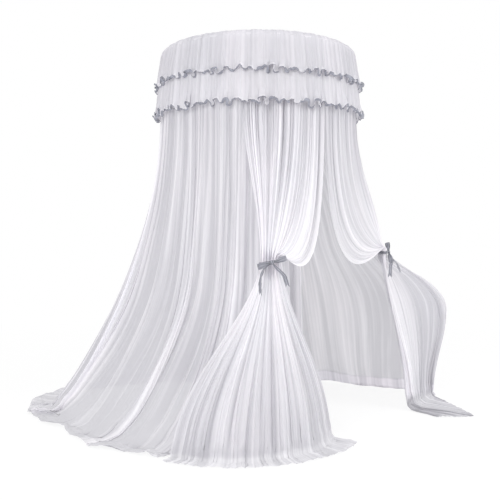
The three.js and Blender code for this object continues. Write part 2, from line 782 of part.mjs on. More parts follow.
function tiedPanel(plan) {
  const { outward, along } = bearingPair(plan.tieBearing);
  const bearingAt = (u) => mix(plan.fromBearing, plan.toBearing, u);
  const across = (u) => bundleHalfWidth * bundleFillShare * (2 * u - 1);
  const waist = (u, rise) => plan.tie.clone().addScaledVector(along, across(u)).addScaledVector(up, rise);
  const overBand = (u) => waist(u, bandPassHalf + leadingOverBand * plan.leadAt(u));
  const base = (u, v) => {
    const bearing = bearingAt(u);
    if (v <= 1) return hangingPoint(bearing, v);
    if (v <= 2) {
      const lead = plan.leadAt(u);
      const shoulder = hangingPoint(bearing, 1);
      const fall = shoulder.clone().addScaledVector(up, -mix(trailingFall, plan.leadFall, lead));
      const arrive = waist(u, bandPassHalf)
        .addScaledVector(along, plan.sweepSide * plan.leadSweep * lead)
        .addScaledVector(outward, -plan.leadInset * lead)
        .addScaledVector(up, mix(trailingArriveRise, -plan.leadSag, lead));
      return cubic(shoulder, fall, arrive, overBand(u), v - 1);
    }
    if (v <= 3) return overBand(u).lerp(waist(u, -bandPassHalf), v - 2);
    return plan.tail(u, v, waist(u, -bandPassHalf));
  };
  const direction = (u, v) => {
    const gathered = smooth(v, 1, 1.7) * (1 - smooth(v, 3.3, 4));
    return polar(bearingAt(u), 1, 0).lerp(outward, gathered).normalize();
  };
  const depthAt = (u, v) => {
    const edge = mix(0.3, 1, smooth(u, 0, 0.08) * smooth(1 - u, 0, 0.08));
    const bundle = Math.sqrt(1 - (bundleFillShare * (2 * u - 1)) ** 2) * bundleHalfDepth;
    if (v <= 1) return mix(curtainHeadPleat, wallPleatDepth / 4, v);
    if (v <= 2) return mix(wallPleatDepth / 4, bundle, smooth(v, 1.4, 2));
    if (v <= 3) return bundle;
    return mix(mix(bundle, wallPleatDepth * edge, smooth(v, 3, 3.5)), wallPleatDepth * poolPleatShare * edge,
      smooth(v, 3.7, 4));
  };
  return pleated(base, direction, tiedPleats, depthAt, 4);
}

const rightTie = polar(rightTieBearing, rightTieReach, -rightTieDrop);
const leftTie = polar(leftTieBearing, leftTieReach, -leftTieDrop);

// Left tail: fans out to the floor in front of the side curtain, and its inner edge stands nearly upright
function leftTail(u, v, start) {
  const bearing = mix(-80, -12, u);
  const stand = hemReach * mix(0.595, 0.395, u * u);
  const hem = hemReach * mix(0.63, 0.49, u * u);
  const foot = polar(bearing, stand, floorZ);
  if (v > 4) return foot.lerp(polar(bearing + 4 * u * u, hem, floorZ), v - 4);
  const leave = start.clone().lerp(foot, 0.12).setZ(start.z - tailLeaveDrop);
  const land = foot.clone().setZ(floorZ + tailLandRise);
  return cubic(start, leave, land, foot, v - 3);
}

// Right tail: most of the cloth falls in one bundle and the last part is stretched out to the drawn seam
function rightTail(u, v, start) {
  const bearing = mix(46, 52, u);
  const foot = polar(bearing, hemReach * mix(0.615, 0.68, u), floorZ);
  const loose = smooth(u, 0.45, 1);
  if (v > 4) {
    const tip = polar(mix(37, 42, u), hemReach * mix(0.69, 0.86, smooth(u, 0, 0.5)), floorZ);
    const seamFoot = drawnSeam(floorZ, seamLapDegrees);
    const seamHem = polar(rightSeamBearing - 5, hemReach * 0.85, floorZ);
    return foot.lerp(seamFoot, loose).lerp(tip.lerp(seamHem, loose), v - 4);
  }
  const fall = v - 3;
  const leave = start.clone().lerp(foot, 0.05).setZ(start.z - tailLeaveDrop);
  const land = foot.clone().setZ(floorZ + tailLandRise);
  const bundle = cubic(start, leave, land, foot, fall);
  const seam = drawnSeam(mix(start.z, floorZ, fall), seamLapDegrees);
  return bundle.lerp(seam, loose * smooth(fall, 0, 0.12));
}

const leftPanel = tiedPanel({
  fromBearing: leftSeamBearing + seamHalf,
  toBearing: doorwayBearing - seamHalf,
  tie: leftTie,
  tieBearing: leftTieBearing,
  leadAt: (u) => u ** 2.5,
  sweepSide: 1,
  leadFall: leftLeadingFall,
  leadSweep: leftLeadingSweep,
  leadInset: leftLeadingInset,
  leadSag: leftLeadingSag,
  tail: leftTail,
});

const rightPanel = tiedPanel({
  fromBearing: doorwayBearing + seamHalf,
  toBearing: rightSeamBearing - seamHalf,
  tie: rightTie,
  tieBearing: rightTieBearing,
  leadAt: (u) => (1 - u) ** 2.5,
  sweepSide: -1,
  leadFall: rightLeadingFall,
  leadSweep: rightLeadingSweep,
  leadInset: rightLeadingInset,
  leadSag: rightLeadingSag,
  tail: rightTail,
});

addMesh('left_panel', clothSolid(leftPanel, tiedPleats * columnsPerPleat, tiedRows, clothThickness), tulle);
addMesh('right_panel', clothSolid(rightPanel, tiedPleats * columnsPerPleat, tiedRows, clothThickness), tulle);

// Ties: a band round each gathered panel, closed by a knot with two bow loops and two tails
function bandSurface(u, v) {
  const turn = 2 * Math.PI * u;
  const clear = clothThickness / 2 + seatGap + bandThickness / 2;
  const widen = 1 / Math.cos(Math.PI / bandSides);
  return new THREE.Vector3(
    (bundleHalfWidth + clear) * widen * Math.cos(turn),
    (bundleHalfDepth + clear) * widen * Math.sin(turn),
    bandHeight * (0.5 - v),
  );
}

const knotFace = (bundleHalfDepth + clothThickness / 2 + seatGap) / Math.cos(Math.PI / bandSides) + bandThickness
  + 2 * seatGap;

// The knot is a small barrel pinched round its middle
function makeKnot() {
  const half = knotHeight / 2;
  const knot = turned([
    [0, -half],
    [knotDepth * 0.4, -half],
    [knotDepth / 2, -half * 0.5],
    [knotDepth * 0.42, 0],
    [knotDepth / 2, half * 0.5],
    [knotDepth * 0.4, half],
    [0, half],
  ], 10);
  knot.scale(knotWidth / knotDepth, 1, 1);
  knot.translate(0, -knotFace - knotDepth / 2, 0);
  return knot;
}

// A bow loop is a ribbon bent back on itself in a teardrop
function makeBowLoop(side) {
  const start = knotWidth / 2 + seatGap;
  const teardrop = (inset) => {
    const path = new THREE.Path();
    path.moveTo(start + inset * 2, 0);
    path.bezierCurveTo(start + bowLoopLength * 0.4, bowLoopDepth * 0.75 - inset, start + bowLoopLength - inset,
      bowLoopDepth * 0.6 - inset, start + bowLoopLength - inset, 0);
    path.bezierCurveTo(start + bowLoopLength - inset, inset - bowLoopDepth * 0.6, start + bowLoopLength * 0.4,
      inset - bowLoopDepth * 0.75, start + inset * 2, 0);
    return path;
  };
  const outline = new THREE.Shape(teardrop(0).getPoints(7));
  outline.holes.push(new THREE.Path(teardrop(ribbonThickness).getPoints(7).reverse()));
  const loop = new THREE.ExtrudeGeometry(outline, { depth: ribbonWidth, steps: 1, bevelEnabled: false });
  loop.translate(0, 0, -ribbonWidth / 2);
  loop.translate(0, -knotFace - knotDepth / 2, 0);
  if (side < 0) loop.rotateY(Math.PI);
  return loop;
}

// A tail follows its own path from under the knot: rows of [share of the way, sideways, outward, drop], the
// last three as shares of the tail length
const leftTails = [
  { path: [[0, -0.02, 0, 0.105], [0.2, -0.24, 0.053, 0.213], [0.5, -0.38, 0.107, 0.5], [1, -0.387, 0.16, 1.013]], twist: [62, 78] },
  { path: [[0, 0.02, 0, 0.099], [0.3, 0.173, 0.093, 0.227], [0.6, 0.367, 0.147, 0.413], [1, 0.487, 0.16, 0.747]], twist: [8, -22] },
];
const rightTails = [
  { path: [[0, -0.06, 0, 0.142], [0.3, -0.107, 0.047, 0.333], [0.6, -0.147, 0.08, 0.6], [1, -0.133, 0.147, 1]], twist: [20, 60] },
  { path: [[0, 0.04, 0.013, 0.109], [0.3, 0.08, 0.187, 0.267], [0.6, 0.12, 0.4, 0.507], [1, 0.147, 0.573, 0.867]], twist: [30, 75] },
];

function makeTail({ path, twist }) {
  const along = (part, v) => tailLength * readSmooth(path.map((row) => [row[0], row[part]]), v);
  const surface = (u, v) => {
    const turn = degrees(mix(...twist, smooth(v, 0, 1)));
    const width = ribbonWidth * mix(0.42, 0.92, smooth(v, 0, 0.35)) * (u - 0.5);
    const outward = knotFace + knotDepth / 2 + along(2, v) + width * Math.sin(turn);
    return new THREE.Vector3(along(1, v) + width * Math.cos(turn), -outward, -along(3, v));
  };
  return clothSolid(surface, 2, tailRows, ribbonThickness);
}

function addTie(name, tie, bearing, bowTilt, tails) {
  const group = new THREE.Group();
  group.position.copy(tie);
  group.rotation.z = degrees(bearing);
  canopy.add(group);
  const add = (piece, geometry) => addMesh(`${name}_${piece}`, geometry, lace, group);
  const tilted = (geometry) => geometry.rotateY(-degrees(bowTilt));
  add('tie_band', clothSolid(bandSurface, bandSides, [0, 1], bandThickness, { wraps: true }));
  add('tie_knot', tilted(makeKnot()));
  add('bow_loop_1', tilted(makeBowLoop(-1)));
  add('bow_loop_2', tilted(makeBowLoop(1)));
  add('bow_tail_1', makeTail(tails[0]));
  add('bow_tail_2', makeTail(tails[1]));
}

addTie('left', leftTie, leftTieBearing, leftBowTilt, leftTails);
addTie('right', rightTie, rightTieBearing, rightBowTilt, rightTails);

export default canopy;
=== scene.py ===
# %% [markdown]
# # A bed crown canopy, dressed in Blender
# The real object is a steel hoop that hangs from the ceiling and carries a net roof, two gathered tiers
# with ruffled trims and four long panels of sheer net. The CAD model gives the sizes. It is loaded first
# as a fixed frame, and everything soft is then built again around it, because net needs far more folds
# than a solid has.

import math

import bmesh
import bpy
import numpy as np
from mathutils import Matrix, Vector


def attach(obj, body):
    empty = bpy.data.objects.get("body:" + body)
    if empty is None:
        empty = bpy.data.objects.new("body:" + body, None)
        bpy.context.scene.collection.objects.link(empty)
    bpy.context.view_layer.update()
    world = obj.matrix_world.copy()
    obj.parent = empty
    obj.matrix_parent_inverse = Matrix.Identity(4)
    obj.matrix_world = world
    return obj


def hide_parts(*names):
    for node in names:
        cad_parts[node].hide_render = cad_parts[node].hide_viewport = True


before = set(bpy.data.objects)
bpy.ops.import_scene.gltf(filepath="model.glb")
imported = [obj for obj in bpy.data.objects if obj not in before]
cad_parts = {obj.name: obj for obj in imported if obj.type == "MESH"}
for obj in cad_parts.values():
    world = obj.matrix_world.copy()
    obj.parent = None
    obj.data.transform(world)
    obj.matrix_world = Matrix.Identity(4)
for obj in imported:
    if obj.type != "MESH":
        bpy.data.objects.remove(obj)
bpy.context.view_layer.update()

# %% [markdown]
# ## The camera
# A camera is fitted before anything is shaped, because every later choice is compared with the
# photograph. The width of the hoop and the height of the horizon fix how far away and how high the
# photographer stood. The camera is turned a little instead of shifted, so that the other views stay
# centred.

# %% Camera
PHOTO_SIDE = 500
SENSOR_WIDTH = 36.0
FOCAL_PIXELS = 696
HORIZON_ROW = 228
HOOP_AXIS_COLUMN = 258
CAMERA_BEARING = -52.0
CAMERA_REACH = 4.1
CAMERA_HEIGHT = -1.13


def add_object(name, data):
    made = bpy.data.objects.new(name, data)
    bpy.context.scene.collection.objects.link(made)
    return made


def add_camera():
    data = bpy.data.cameras.new("camera")
    data.sensor_width = SENSOR_WIDTH
    data.lens = FOCAL_PIXELS / PHOTO_SIDE * SENSOR_WIDTH
    camera = add_object("camera", data)
    turn = math.radians(CAMERA_BEARING)
    side_turn = math.atan((HOOP_AXIS_COLUMN - PHOTO_SIDE / 2) / FOCAL_PIXELS)
    tilt = math.atan((PHOTO_SIDE / 2 - HORIZON_ROW) / FOCAL_PIXELS)
    camera.location = (CAMERA_REACH * math.sin(turn), -CAMERA_REACH * math.cos(turn), CAMERA_HEIGHT)
    look = turn + side_turn
    ahead = Vector((-math.sin(look), math.cos(look), -math.tan(tilt)))
    camera.rotation_mode = "QUATERNION"
    camera.rotation_quaternion = ahead.to_track_quat("-Z", "Y")
    bpy.context.scene.camera = camera
    return camera


camera = add_camera()
print("camera at", tuple(round(part, 2) for part in camera.location))

# %% [markdown]
# ## Nodes from Python
# Materials are built from nodes. One small class holds an output socket, so that sums on it read like
# sums and add their Math nodes, and one method adds any other kind of node.


# %% A socket that does maths
class Socket:
    def __init__(self, tree, output=None):
        self.tree = tree
        self.output = output

    def node(self, kind, settings=None, values=None, output=0):
        """Adds a node, sets it, fills or links its sockets, and gives back one of its outputs."""
        made = self.tree.nodes.new(kind)
        for name, value in (settings or {}).items():
            setattr(made, name, value)
        for name, value in (values or {}).items():
            if isinstance(value, Socket):
                self.tree.links.new(value.output, made.inputs[name])
            else:
                made.inputs[name].default_value = value
        return Socket(self.tree, made.outputs[output] if made.outputs else None)

    def maths(self, operation, first, second=0.0):
        return self.node("ShaderNodeMath", {"operation": operation}, {0: first, 1: second})

    def __add__(self, other):
        return self.maths("ADD", self, other)

    def __radd__(self, other):
        return self.maths("ADD", other, self)

    def __sub__(self, other):
        return self.maths("SUBTRACT", self, other)

    def __rsub__(self, other):
        return self.maths("SUBTRACT", other, self)

    def __mul__(self, other):
        return self.maths("MULTIPLY", self, other)

    def __rmul__(self, other):
        return self.maths("MULTIPLY", other, self)

    def held(self, low=0.0, high=1.0):
        return self.maths("MAXIMUM", self.maths("MINIMUM", self, high), low)

    def blend(self, first, second):
        """A colour between two colours, by this value."""
        settings = {"data_type": "RGBA", "clamp_factor": True}
        return self.node("ShaderNodeMix", settings, {0: self, 6: first, 7: second}, output=2)


def new_material(name):
    material = bpy.data.materials.new(name)
    material.use_nodes = True
    material.node_tree.nodes.clear()
    return material, Socket(material.node_tree)


def show(start, shader, output_kind="ShaderNodeOutputMaterial"):
    start.node(output_kind, values={"Surface": shader})


print("socket class ready")

# %% [markdown]
# ## Floor, backdrop and light
# The photograph is cut out on white. The camera alone sees a white world and a nearly white floor, while
# the light on the cloth stays soft and plain. The floor keeps a share of its own shading, so the cloth
# throws a faint shadow and doesn't float.

# %% Floor and light
FLOOR_Z = -2.24
FLOOR_HALF = 40.0
FLOOR_WHITE_SHARE = 0.84
FADE_START, FADE_END = 1.6, 4.5
WORLD_LIGHT = 0.92
WHITE = (1.0, 1.0, 1.0, 1.0)
FLOOR_GREY = (0.9, 0.9, 0.9, 1.0)
LAMP_AIM = (0, 0, -1.2)
KEY_PLACE, KEY_SIZE, KEY_POWER = (-4.6, -1.2, 1.4), 2.2, 140
FILL_PLACE, FILL_SIZE, FILL_POWER = (1.2, -4.8, 0.6), 3.0, 125
MOST_CLEAR_LAYERS = 24


def mixed(start, share, first, second):
    """The second shader over the first, by share."""
    return start.node("ShaderNodeMixShader", values={0: share, 1: first, 2: second})


def object_place(start):
    return start.node("ShaderNodeTexCoord", output="Object")


def seen_straight(start):
    """1 for rays that should see the white surroundings: straight, glossy or through glass."""
    path = start.node("ShaderNodeLightPath", output="Is Camera Ray")
    node = path.output.node
    glossy = Socket(start.tree, node.outputs["Is Glossy Ray"])
    through = Socket(start.tree, node.outputs["Is Transmission Ray"])
    return start.maths("MAXIMUM", path, start.maths("MAXIMUM", glossy, through))


def add_floor():
    mesh = bmesh.new()
    bmesh.ops.create_grid(mesh, x_segments=1, y_segments=1, size=FLOOR_HALF)
    data = bpy.data.meshes.new("floor")
    mesh.to_mesh(data)
    mesh.free()
    floor = add_object("floor", data)
    floor.location.z = FLOOR_Z
    material, start = new_material("pale_floor")
    matt = start.node("ShaderNodeBsdfDiffuse", values={"Color": FLOOR_GREY})
    bright = start.node("ShaderNodeEmission", values={"Color": WHITE, "Strength": 1.0})
    place = object_place(start)
    away = start.node("ShaderNodeVectorMath", {"operation": "LENGTH"}, {0: place}, output="Value")
    fade = ((away - FADE_START) * (1 / (FADE_END - FADE_START))).held()
    share = seen_straight(start) * (FLOOR_WHITE_SHARE + fade * (1 - FLOOR_WHITE_SHARE))
    show(start, mixed(start, share, matt, bright))
    data.materials.append(material)


def add_world():
    world = bpy.data.worlds.new("studio")
    bpy.context.scene.world = world
    world.use_nodes = True
    world.node_tree.nodes.clear()
    start = Socket(world.node_tree)
    lit = start.node("ShaderNodeBackground", values={"Color": WHITE, "Strength": WORLD_LIGHT})
    seen = start.node("ShaderNodeBackground", values={"Color": WHITE, "Strength": 1.0})
    show(start, mixed(start, seen_straight(start), lit, seen), "ShaderNodeOutputWorld")


def add_lamp(name, place, size, power):
    data = bpy.data.lights.new(name, "AREA")
    data.size = size
    data.energy = power
    lamp = add_object(name, data)
    lamp.location = place
    lamp.rotation_mode = "QUATERNION"
    lamp.rotation_quaternion = (Vector(LAMP_AIM) - Vector(place)).to_track_quat("-Z", "Y")


add_floor()
add_world()
add_lamp("key", KEY_PLACE, KEY_SIZE, KEY_POWER)
add_lamp("fill", FILL_PLACE, FILL_SIZE, FILL_POWER)
bpy.context.scene.view_settings.view_transform = "Standard"
bpy.context.scene.cycles.transparent_max_bounces = MOST_CLEAR_LAYERS
print("floor and light ready")

# %% [markdown]
# ## Sheer net
# Net is mostly holes, so what is behind it shows. Each face lets part of the light straight through and
# sends part of it on softly to the other side, as thin cloth does. Where the cloth is gathered, several
# layers lie over each other and look whiter: each sheet carries a value for this, and a pattern stretched
# along the cloth's own length adds the gathers that are too fine for the mesh. The same value also carries
# painted shade and light: fold ridges are painted whiter and fold hollows greyer, the back curtain is
# painted greyer as the shade inside the canopy, the cloth round the ties is painted lighter over their
# shadow, and the doubled cloth at the seams is painted lighter too. The light that is sent on is mixed
# from three plain colours, so that only the mixing changes over the cloth. Holes cut in the mesh would
# look the same and take millions of faces, so the material does this work.


# %% Colours and patterns
def colour(red, green, blue):
    """A picture's red, green and blue out of 255 as linear values, by the sRGB standard's formula."""
    parts = [part / 255 for part in (red, green, blue)]
    return [part / 12.92 if part < 0.04 else ((part + 0.055) / 1.055) ** 2.4 for part in parts] + [1.0]


def noise(start, place, scale, detail):
    """Noise over a place that is first scaled along each of its axes."""
    scaled = start.node("ShaderNodeMapping", values={"Vector": place, "Scale": scale})
    return start.node("ShaderNodeTexNoise", values={"Vector": scaled, "Scale": 1.0, "Detail": detail})


def relief(start, height, strength, depth):
    return start.node("ShaderNodeBump", values={"Strength": strength, "Distance": depth, "Height": height})


def uv_place(start):
    return start.node("ShaderNodeUVMap", {"uv_map": "UVMap"})


def layers_and_painted_shade(start):
    """The value that each sheet carries for how many layers of cloth lie there, with painted fold shade
    and light added.
    """
    return start.node("ShaderNodeAttribute", {"attribute_name": "layers_and_painted_shade"}, output="Fac")


print("colours and patterns ready")

# %% Net material
NET_THIN = colour(206, 205, 210)
NET_DENSE = colour(252, 252, 255)
NET_WARM = colour(253, 250, 253)
NET_ROUGHNESS, NET_GLOSS = 0.75, 0.2
LINE_SCALE, LINE_CONTRAST = (40.0, 0.7, 1.0), 5.0
PATCH_SCALE, PATCH_CONTRAST = (3.0, 1.1, 1.0), 0.5
WARM_CONTRAST, WARM_START = 2.4, 0.7
LAYER_COVER = 0.1
LEAST_COVER, MOST_COVER = 0.3, 0.985
GLOW_SHARE = 0.5
NET_RELIEF, NET_RELIEF_STRENGTH = 0.004, 0.3


def net_material(name, cover, streak):
    """cover is the share of light that a flat layer stops, streak the strength of its lines."""
    material, start = new_material(name)
    fine = noise(start, uv_place(start), LINE_SCALE, 3.0)
    broad = noise(start, uv_place(start), PATCH_SCALE, 2.0)
    lines = ((fine - 0.5) * LINE_CONTRAST).held(-1.0, 1.0)
    # Layers of net plus painted shade and light: lighter on fold ridges, at the ties and seams, greyer in
    # fold hollows and on the back curtain.
    lightness = (layers_and_painted_shade(start) + lines * streak + (broad - 0.5) * PATCH_CONTRAST).held()
    warm = (broad * WARM_CONTRAST - WARM_START).held()
    tint = lightness.blend(NET_THIN, warm.blend(NET_DENSE, NET_WARM))
    opening = (cover + lightness * LAYER_COVER).held(LEAST_COVER, MOST_COVER)
    cloth = start.node("ShaderNodeBsdfPrincipled", values={
        "Base Color": tint, "Roughness": NET_ROUGHNESS, "Specular IOR Level": NET_GLOSS,
        "Normal": relief(start, fine, NET_RELIEF_STRENGTH, NET_RELIEF)})
    thin, white, pink = (start.node("ShaderNodeBsdfTranslucent", values={"Color": shade})
                         for shade in (NET_THIN, NET_DENSE, NET_WARM))
    passed = mixed(start, lightness, thin, mixed(start, warm, white, pink))
    clear = start.node("ShaderNodeBsdfTransparent", values={"Color": WHITE})
    show(start, mixed(start, opening, clear, mixed(start, GLOW_SHARE, cloth, passed)))
    return material


curtain_net = net_material("curtain_net", cover=0.88, streak=0.4)
valance_net = net_material("valance_net", cover=0.94, streak=0.2)
print("net ready")

# %% [markdown]
# ## Cloth from a flat grid
# Every sheet starts as a flat grid, as it lay on the cutting table. Its columns run down the cloth and
# its rows across it. A function then says where each point of the grid hangs. The grid keeps its flat
# coordinates in its UV map, in metres, so that the weave follows the cloth through each fold. A cloth
# simulation could hang the sheets too, but it would choose its own folds, while a function puts each one
# where the photograph has it.

# %% Directions and mixing
UP = np.array([0.0, 0.0, 1.0])
LEVEL = np.array([1.0, 1.0, 0.0])


def mix(first, second, share):
    return first + (second - first) * share


def smooth(value, start, end):
    share = np.clip((value - start) / (end - start), 0.0, 1.0)
    return share * share * (3 - 2 * share)


def polar(bearing, reach, height):
    """Points at a bearing in degrees, 0 at the front, a reach from the hoop's axis and a height."""
    turn = np.radians(bearing)
    parts = np.broadcast_arrays(reach * np.sin(turn), -reach * np.cos(turn), height)
    return np.stack(parts, axis=-1)


def outward_at(bearing):
    return polar(bearing, 1.0, 0.0)


def sideways_at(bearing):
    return polar(bearing + 90, 1.0, 0.0)


def column(values):
    return np.asarray(values)[..., None]


def unit(vectors):
    return vectors / np.linalg.norm(vectors, axis=-1, keepdims=True)


print("one metre out at 90 degrees:", polar(90.0, 1.0, 0.0).round(2))

# %% Cloth helper
WELD_DISTANCE = 1e-5


def finish_piece(name, mesh, material, body, nodes):
    """Makes a bmesh a piece with its material, its body and the nodes it stands for."""
    data = bpy.data.meshes.new(name)
    mesh.to_mesh(data)
    mesh.free()
    piece = add_object(name, data)
    data.materials.append(material)
    for face in data.polygons:
        face.use_smooth = True
    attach(piece, body)
    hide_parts(*nodes)
    return piece


def hang_cloth(name, surface, grid, flat, material, nodes, wraps=False,
               area=None):
    """A grid of cloth, columns by rows, with its flat size.

    surface(u, v) takes u across and v down, both from 0 to 1. It gives the points and how many layers of
    cloth lie there, from one thin layer at 0 to many at 1, with painted shade and light on folds and
    creases added.
    """
    mesh = bmesh.new()
    bmesh.ops.create_grid(mesh, x_segments=grid[0], y_segments=grid[1], size=0.5, calc_uvs=False)
    uv_layer = mesh.loops.layers.uv.new("UVMap")
    # Each vertex keeps how many layers lie there, with the painted shade and light of its folds and
    # creases.
    layer_shade_attribute = mesh.verts.layers.float.new("layers_and_painted_shade")
    mesh.verts.index_update()
    spread = np.array([vert.co for vert in mesh.verts])
    u, v = spread[:, 0] + 0.5, 0.5 - spread[:, 1]
    points, layer_shade_value = surface(u, v)
    for vert, point, lightness in zip(mesh.verts, points, np.broadcast_to(layer_shade_value, u.shape)):
        vert.co = point
        vert[layer_shade_attribute] = lightness
    for face in mesh.faces:
        for loop in face.loops:
            index = loop.vert.index
            loop[uv_layer].uv = (u[index] * flat[0], v[index] * flat[1])
    if wraps:
        bmesh.ops.remove_doubles(mesh, verts=mesh.verts, dist=WELD_DISTANCE)
    bmesh.ops.recalc_face_normals(mesh, faces=mesh.faces)
    hung_area = sum(face.calc_area() for face in mesh.faces)
    piece = finish_piece(name, mesh, material, "canopy", nodes)
    print(f"{name}: {hung_area:.3f} square metres on a cut of {area or flat[0] * flat[1]:.3f}")
    return piece


print("cloth helper ready")

# %% [markdown]
# ## Folds
# Gathered cloth isn't an even wave. Its folds differ in width and depth, small ones run into large ones,
# and their ridges lean over so that the cloth doubles on itself. Several waves of different width are
# added, each made uneven by slow seeded wandering. One part pushes the cloth in and out, the other slides
# it sideways.

# %% Folds
FULL_TURN = 2 * math.pi
WANDER_PACES = (1.0, 1.73, 2.91, 4.37, 6.1)
WANDER_WEIGHTS = (1.0, 0.8, 0.6, 0.45, 0.3)
WANDER_RANGE = 2.2
UNEVEN_SHARE, UNEVEN_FOLDS = 0.32, 5
STRENGTH_MEAN, STRENGTH_SWING, STRENGTH_FOLDS = 0.72, 0.4, 7
USUAL_DRIFT = 0.12
SLIP_PACES, SWING_PACE = (0.45, 1.3), 0.35
FAMILY_SEED_STEP = 10


def wander(value, seed):
    """A slow uneven curve between about -1 and 1."""
    phases = np.random.default_rng(seed).uniform(0, FULL_TURN, len(WANDER_PACES))
    total = 0.0
    for pace, weight, phase in zip(WANDER_PACES, WANDER_WEIGHTS, phases):
        total = total + weight * np.sin(FULL_TURN * pace * value + phase)
    return total / WANDER_RANGE


def fold(u, down, count, depth, seed, lean, drift=USUAL_DRIFT):
    """Push and sideways slide of one family of folds, count of them over u from 0 to 1."""
    uneven = UNEVEN_SHARE * wander(u * count / UNEVEN_FOLDS, seed)
    slip = drift * wander(down * SLIP_PACES[0] + u * SLIP_PACES[1], seed + 1)
    phase = FULL_TURN * (count * u + uneven + slip)
    swing = wander(u * count / STRENGTH_FOLDS + down * SWING_PACE, seed + 2)
    strength = STRENGTH_MEAN + STRENGTH_SWING * swing
    return depth * strength * np.cos(phase), -lean * depth * strength * np.sin(2 * phase)


def folds(u, down, families, seed, drift=USUAL_DRIFT):
    """The push and slide of several families together, each a row of count, depth and lean."""
    push, slide = 0.0, 0.0
    for place, (count, depth, lean) in enumerate(families):
        more = fold(u, down, count, depth, seed + FAMILY_SEED_STEP * place, lean, drift)
        push, slide = push + more[0], slide + more[1]
    return push, slide


def calm_at_edges(u, least, width):
    """1 over most of a panel and least at its two edges, so that its seams stay straight."""
    return mix(least, 1, smooth(u, 0, width) * smooth(1 - u, 0, width))


print("folds ready")


# %% Listed tables
def rows_around(rows, value):
    """The places and amounts of a listed table, and which of its rows comes after each value."""
    places, amounts = np.array(rows, float).T
    return places, amounts, np.clip(np.searchsorted(places, value), 1, len(rows) - 1)


def table_at(rows, value):
    """Reads a table of (place, amount) rows with an eased slope between them."""
    places, amounts, after = rows_around(rows, value)
    share = smooth(value, places[after - 1], places[after])
    return mix(amounts[after - 1], amounts[after], share)


def curve_at(rows, value):
    """Reads such a table as one smooth curve through its rows."""
    places, amounts, after = rows_around(rows, value)
    start, end = amounts[after - 1], amounts[after]
    gap = places[after] - places[after - 1]
    share = np.clip((value - places[after - 1]) / gap, 0, 1)
    before, beyond = np.maximum(after - 2, 0), np.minimum(after + 1, len(rows) - 1)
    slope_in = (end - amounts[before]) * gap / (places[after] - places[before])
    slope_out = (amounts[beyond] - start) * gap / (places[beyond] - places[after - 1])
    bend = 3 * (end - start) - 2 * slope_in - slope_out
    twist = 2 * (start - end) + slope_in + slope_out
    return start + slope_in * share + bend * share**2 + twist * share**3


print("tables ready")

# %% [markdown]
# ## The curtains' own lines
# These are nearly the lines of the CAD source, in metres, a little closer to the photograph: how far out
# the cloth meets the floor and where its hem lies at each bearing. They keep each sheet in the space of
# the solid that it stands for.

# %% Lines of the hanging cloth
HOOP_Z = -0.15
HEAD_RADIUS = 0.5548
HEAD_Z = -0.1583
SHOULDER_RADIUS = 0.562
SHOULDER_Z = -0.500
CLOTH_FLOOR_Z = -2.2385
HEM_REACH = 1.49
TRUMPET_POWER = 1.78
SEAM_HALF = 0.125
LEFT_SEAM, DOORWAY, RIGHT_SEAM, REAR_SEAM = -60.0, -15.0, 63.0, -177.0

STAND_SHARES = (
    (-297, 0.74), (-289, 0.75), (-259, 0.67), (-242, 0.63), (-210, 0.62), (-202, 0.64), (-187, 0.74),
    (-170, 0.855), (-157, 0.88), (-145, 0.832), (-136, 0.77), (-114, 0.66), (-94, 0.6), (-86, 0.585),
    (-77, 0.545), (-60, 0.53), (-29, 0.44))
HEM_SHARES = (
    (-297, 0.79), (-289, 0.8), (-259, 0.69), (-242, 0.645), (-210, 0.635), (-202, 0.67), (-187, 0.81),
    (-170, 0.965), (-157, 1), (-145, 0.935), (-136, 0.855), (-125, 0.745), (-114, 0.725), (-106, 0.71),
    (-94, 0.648), (-86, 0.628), (-77, 0.59), (-60, 0.572), (-29, 0.46))


def hanging_point(bearing, v):
    """A free column of cloth: v is 0 at the head, 1 at the shoulder, 2 at the floor and 3 at the hem."""
    stand = HEM_REACH * table_at(STAND_SHARES, bearing)
    hem = HEM_REACH * table_at(HEM_SHARES, bearing)
    fall = np.clip(v - 1, 0, 1)
    reach = mix(HEAD_RADIUS, SHOULDER_RADIUS, np.clip(v, 0, 1))
    reach = np.where(v > 1, mix(SHOULDER_RADIUS, stand, fall**TRUMPET_POWER), reach)
    reach = np.where(v > 2, mix(stand, hem, np.clip(v - 2, 0, 1)), reach)
    height = mix(HEAD_Z, SHOULDER_Z, np.clip(v, 0, 1))
    height = np.where(v > 1, mix(SHOULDER_Z, CLOTH_FLOOR_Z, fall), height)
    return polar(bearing, reach, height)


print("hem reach at its widest:", HEM_REACH, "metres")

# %% Cloth on the floor
CRUMPLE_REACH = 0.01
CRUMPLE_HEIGHT = 0.008


def softened(surface, reach):
    """Rounds the corners of a surface along its length, such as the turn where cloth meets the floor."""
    def rounded(u, v):
        return (surface(u, v - reach) + 2 * surface(u, v) + surface(u, v + reach)) / 4
    return rounded


def crumpled(points, bearing, u, v, lies, seed):
    """Cloth on the floor is pushed about, rises in soft uneven ridges and never sinks into the floor."""
    out = CRUMPLE_REACH * wander(u * 1.1 + v * 0.8, seed)
    aside = CRUMPLE_REACH * wander(u * 0.9 - v * 0.9, seed + 1)
    rise = CRUMPLE_HEIGHT * np.maximum(wander(u * 1.3 + v * 1.1, seed + 2), 0)
    moved = outward_at(bearing) * column(out * lies) + sideways_at(bearing) * column(aside * lies)
    points = points + moved + UP * column(rise * lies)
    points[:, 2] = np.maximum(points[:, 2], CLOTH_FLOOR_Z)
    return points


print("cloth on the floor rises up to", CRUMPLE_HEIGHT, "metres")

# %% [markdown]
# ## Free-hanging curtains
# Two wide panels hang free: one from the front left round to the back, one behind and at the right. Their
# columns bunch together in places and spread in others, as the photograph shows, and they lie out on the
# floor at the bottom. A smooth skirt with a bump would be quicker, but its edges, its hem and its pool
# would stay flat, so every fold is real cloth here.

